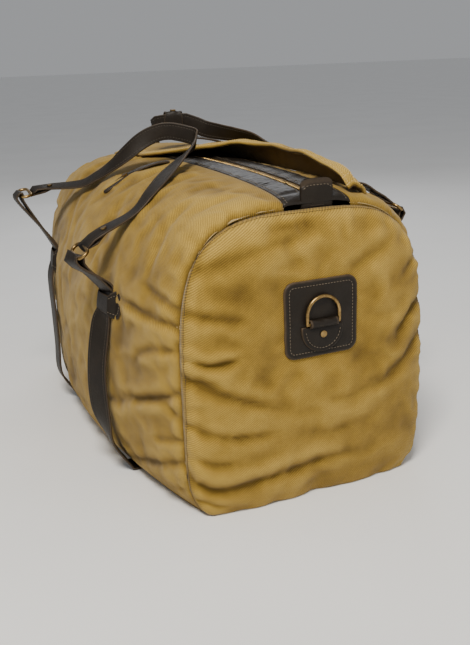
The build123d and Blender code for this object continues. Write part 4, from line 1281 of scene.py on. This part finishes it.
lower = P + N * (-flap_thick * 0.36 + wave * free - 0.0009 * double)[..., None]
loop = np.concatenate([upper, lower[::-1]], 0)
measure = np.concatenate([run, (2 * run.max(0) - run)[::-1] + 0.004], 0)
across = np.concatenate([P[..., 0], P[::-1, :, 0]], 0)
# Painted shade: the flap's underside is marked darker all over. On top, the mark is lighter on the doubled
# hem and darker in wave valleys and stitch grooves.
mark = np.concatenate([np.clip(top_height / 0.008, -0.3, 0.3) + 0.20 * double,
                       np.full(run.shape, -0.28)[::-1]], 0)
loop_t = loop.transpose(1, 0, 2)
middle = P.mean(0)[:, None]
flap = grid_piece("storm_flap_canvas", loop_t, loop_t - middle, across.T, measure.T, closed=True,
                  marks={"fold": mark.T})
mesh = bpy.data.meshes.new("storm_flap_canvas")
faces = [list(f.vertices) for f in flap.data.polygons]
ring_size = loop_t.shape[1]
flat_points = loop_t.reshape(-1, 3)
first, last = list(range(ring_size)), list(range(len(flat_points) - ring_size, len(flat_points)))
for ends, outward in ((first, -1), (last, 1)):
    half = ring_size // 2
    for i in range(half - 1):
        quad = [ends[i], ends[i + 1], ends[ring_size - 2 - i], ends[ring_size - 1 - i]]
        a, b, c = (flat_points[quad[k]] for k in (0, 1, 2))
        if np.cross(b - a, c - a)[0] * outward < 0:
            quad = quad[::-1]
        faces.append(quad)
mesh.from_pydata(flat_points.tolist(), [], faces)
layer = mesh.uv_layers.new(name="cloth")
loops = np.zeros(len(mesh.loops), np.int32)
mesh.loops.foreach_get("vertex_index", loops)
per_point = np.stack([across.T.reshape(-1), measure.T.reshape(-1)], 1)
layer.data.foreach_set("uv", per_point[loops].astype(np.float32).reshape(-1))
crease_and_shade_mark = mesh.attributes.new("fold", "FLOAT", "POINT")
crease_and_shade_mark.data.foreach_set("value", mark.T.astype(np.float32).reshape(-1))
mesh.polygons.foreach_set("use_smooth", [True] * len(mesh.polygons))
flap.data = mesh
mesh.materials.append(canvas_cloth)
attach(flap, "flap")
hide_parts("storm_flap")
rows_of_thread = []
for at in (0.0035, 0.0125):
    k = np.abs(to_hem - at).argmin(0)
    rows_of_thread.append(upper[k, np.arange(len(xs))][1:-1] + N[k, np.arange(len(xs))][1:-1] * 0.0002)
    rows_of_thread.append(lower[k, np.arange(len(xs))][1:-1] - N[k, np.arange(len(xs))][1:-1] * 0.0002)
for column in (1, -2, 4, -5):
    rows_of_thread.append(upper[3:-1, column] + N[3:-1, column] * 0.0002)
hem_thread = stitches("flap_hem_thread", "flap", rows_of_thread, gold_thread,
                      0.0038, 0.0031, 0.00058)

# A narrow leather tab is sewn in under the canvas edge and lies forward on the front. Its brass
# snap closes on the storm flap when the flap is down, and is undone here.
tab_x, tab_wide, tab_root_y = -0.026, 0.015, -0.046
tab_points = []
for i in range(7):
    y = tab_root_y - 0.108 * 0.93 * i / 6
    tab_points.append((tab_x + 0.0008 * sin(i * 1.3), y, float(top_at(tab_x, y)) + 0.0021 + 0.0014 * (i > 0)
                       + 0.0016 * (i == 6)))
tab, lines, _ = strap("flap_tab_leather", tab_points, [(1, 0, 0.05 * sin(i)) for i in range(7)], tab_wide,
                      0.0029, step=0.003, body="tab", taper=((1, 0.012),))
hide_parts("flap_tab")
stitches("flap_tab_thread", "tab", [line[:-3] for line in lines[1::2]], pale_thread, 0.0036, 0.0026, 0.0004)

# The bottom is a second layer of canvas under the body, pressed flat by the weight of the bag,
# with two shallow channels where the girth straps pass beneath it.
xs = np.linspace(-half_length + 0.002, half_length - 0.002, 150)
across_share = np.linspace(-1, 1, 90)
XX, SS = np.meshgrid(xs, across_share)
YY = SS * (side_at(XX, 0.0025) - 0.001)
channel = np.maximum(ramp((0.0195 - np.abs(XX - girth_x)) / 0.003),
                     ramp((0.0195 - np.abs(XX + girth_x)) / 0.003))
ZZ = 0.0008 + 0.0034 * channel + 0.0003 * np.abs(soft_noise(np.stack([XX, YY, 0 * XX], 2), 30.0, 81))
P = np.stack([XX, YY, ZZ], 2)
down = np.zeros_like(P)
down[..., 2] = -1
bottom = grid_piece("canvas_bottom", P, down, XX, YY, marks={"fold": 0 * XX - 0.05})
thicken(bottom, 0.0014)
bottom.data.materials.append(canvas_cloth)
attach(bottom, "bag")
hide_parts("base_panel")

# Inside, the raw edges of each end seam are wrapped in a narrow binding of plain cotton tape.
bind_made, bind_shader, bind_add, bind_join = node_tree("plain cotton binding")
bind_uv = bind_add("TexCoord")
bind_weave = bind_add("TexChecker", Scale=900.0)
bind_join(bind_uv, "Object", bind_weave, "Vector")
bind_weave.inputs["Color1"].default_value = (0.30, 0.21, 0.085, 1)
bind_weave.inputs["Color2"].default_value = (0.40, 0.29, 0.125, 1)
bind_join(bind_weave, "Color", bind_shader, "Base Color")
bind_shader.inputs["Roughness"].default_value = 0.9
for word, sign in (("near", 1), ("far", -1)):
    first = None
    for part, side, edge in (("front", -1, mouth_front), ("back", 1, mouth_back)):
        xs = sign * np.array([0.2965, 0.2975, 0.3000, 0.3025, 0.3035])
        bulge = np.array([0.0, 0.0006, 0.0009, 0.0006, 0.0])
        P = []
        for x, b in zip(xs, bulge):
            line, _ = bag_profile(x, side, edge, 0.008, 120)
            centre = np.array([0, 0.18])
            inward = centre - line
            inward /= np.linalg.norm(inward, axis=1, keepdims=True)
            line = line + inward * (0.0040 + b)
            P.append(np.c_[np.full(120, x), line])
        P = np.array(P)
        toward = np.zeros_like(P)
        toward[..., 1] = -P[..., 1]
        toward[..., 2] = 0.18 - P[..., 2]
        strip = grid_piece(f"seam_tape_{part}_{word}", P, toward)
        thicken(strip, 0.0008)
        strip.data.materials.append(bind_made)
        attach(strip, "bag")
        if first is None:
            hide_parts(f"seam_binding_{word}")
            first = strip

# The bag stands on a plain pale floor in soft light from the upper right.
floor_mesh = bpy.data.meshes.new("floor")
floor_half, floor_z = 40.0, -0.0002
floor_corners = [(x * floor_half, y * floor_half, floor_z)
                 for x, y in ((-1, -1), (1, -1), (1, 1), (-1, 1))]
floor_mesh.from_pydata(floor_corners, [], [(0, 1, 2, 3)])
floor = bpy.data.objects.new("floor", floor_mesh)
bpy.context.scene.collection.objects.link(floor)
floor_paint, floor_shader, floor_add, floor_join = node_tree("pale floor")
floor_grain = floor_add("TexNoise", Scale=3.0, Detail=4.0)
floor_place = floor_add("TexCoord")
floor_join(floor_place, "Object", floor_grain, "Vector")
floor_tint = ramp_of(floor_add, (0.3, (0.84, 0.84, 0.835)), (0.7, (0.88, 0.88, 0.875)))
floor_join(floor_grain, "Fac", floor_tint, "Fac")
floor_join(floor_tint, "Color", floor_shader, "Base Color")
floor_shader.inputs["Roughness"].default_value = 0.9
floor_mesh.materials.append(floor_paint)
world = bpy.data.worlds.new("studio")
world.use_nodes = True
world.node_tree.nodes["Background"].inputs["Color"].default_value = (0.95, 0.97, 1.0, 1)
world.node_tree.nodes["Background"].inputs["Strength"].default_value = 0.36
bpy.context.scene.world = world
for name, place, aim, size, power, tint in (
        ("key", (1.25, -0.75, 2.05), (0.1, -0.05, 0.25), 0.6, 60, (1.0, 0.95, 0.86)),
        ("fill", (2.0, 1.2, 0.9), (0, 0, 0.2), 1.6, 7, (1.0, 0.97, 0.92)),
        ("rim", (-1.6, 0.8, 1.5), (0, 0, 0.3), 1.2, 10, (0.95, 0.97, 1.0))):
    lamp = bpy.data.lights.new(name, "AREA")
    lamp.energy, lamp.size, lamp.color = power, size, tint
    thing = bpy.data.objects.new(name, lamp)
    bpy.context.scene.collection.objects.link(thing)
    thing.location = place
    thing.rotation_euler = (Vector(place) - Vector(aim)).to_track_quat("Z", "Y").to_euler()

# The camera stands at the near end, a little to the front and above.
camera = bpy.data.cameras.new("camera")
camera.sensor_width, camera.lens = 36.0, 46.15
eye = bpy.data.objects.new("camera", camera)
bpy.context.scene.collection.objects.link(eye)
az, el, roll = radians(66.1), radians(17.8), radians(-2.1)
forward = Vector((-sin(az) * cos(el), cos(az) * cos(el), -sin(el)))
right = Vector((cos(az), sin(az), 0.0))
up = right.cross(forward)
right_turned = cos(roll) * right + sin(roll) * up
up_turned = -sin(roll) * right + cos(roll) * up
turn = Matrix((right_turned, up_turned, -forward)).transposed()
eye.matrix_world = Matrix.Translation((1.143, -0.465, 0.531)) @ turn.to_4x4()
camera.clip_start, camera.clip_end = 0.01, 50
bpy.context.scene.camera = eye
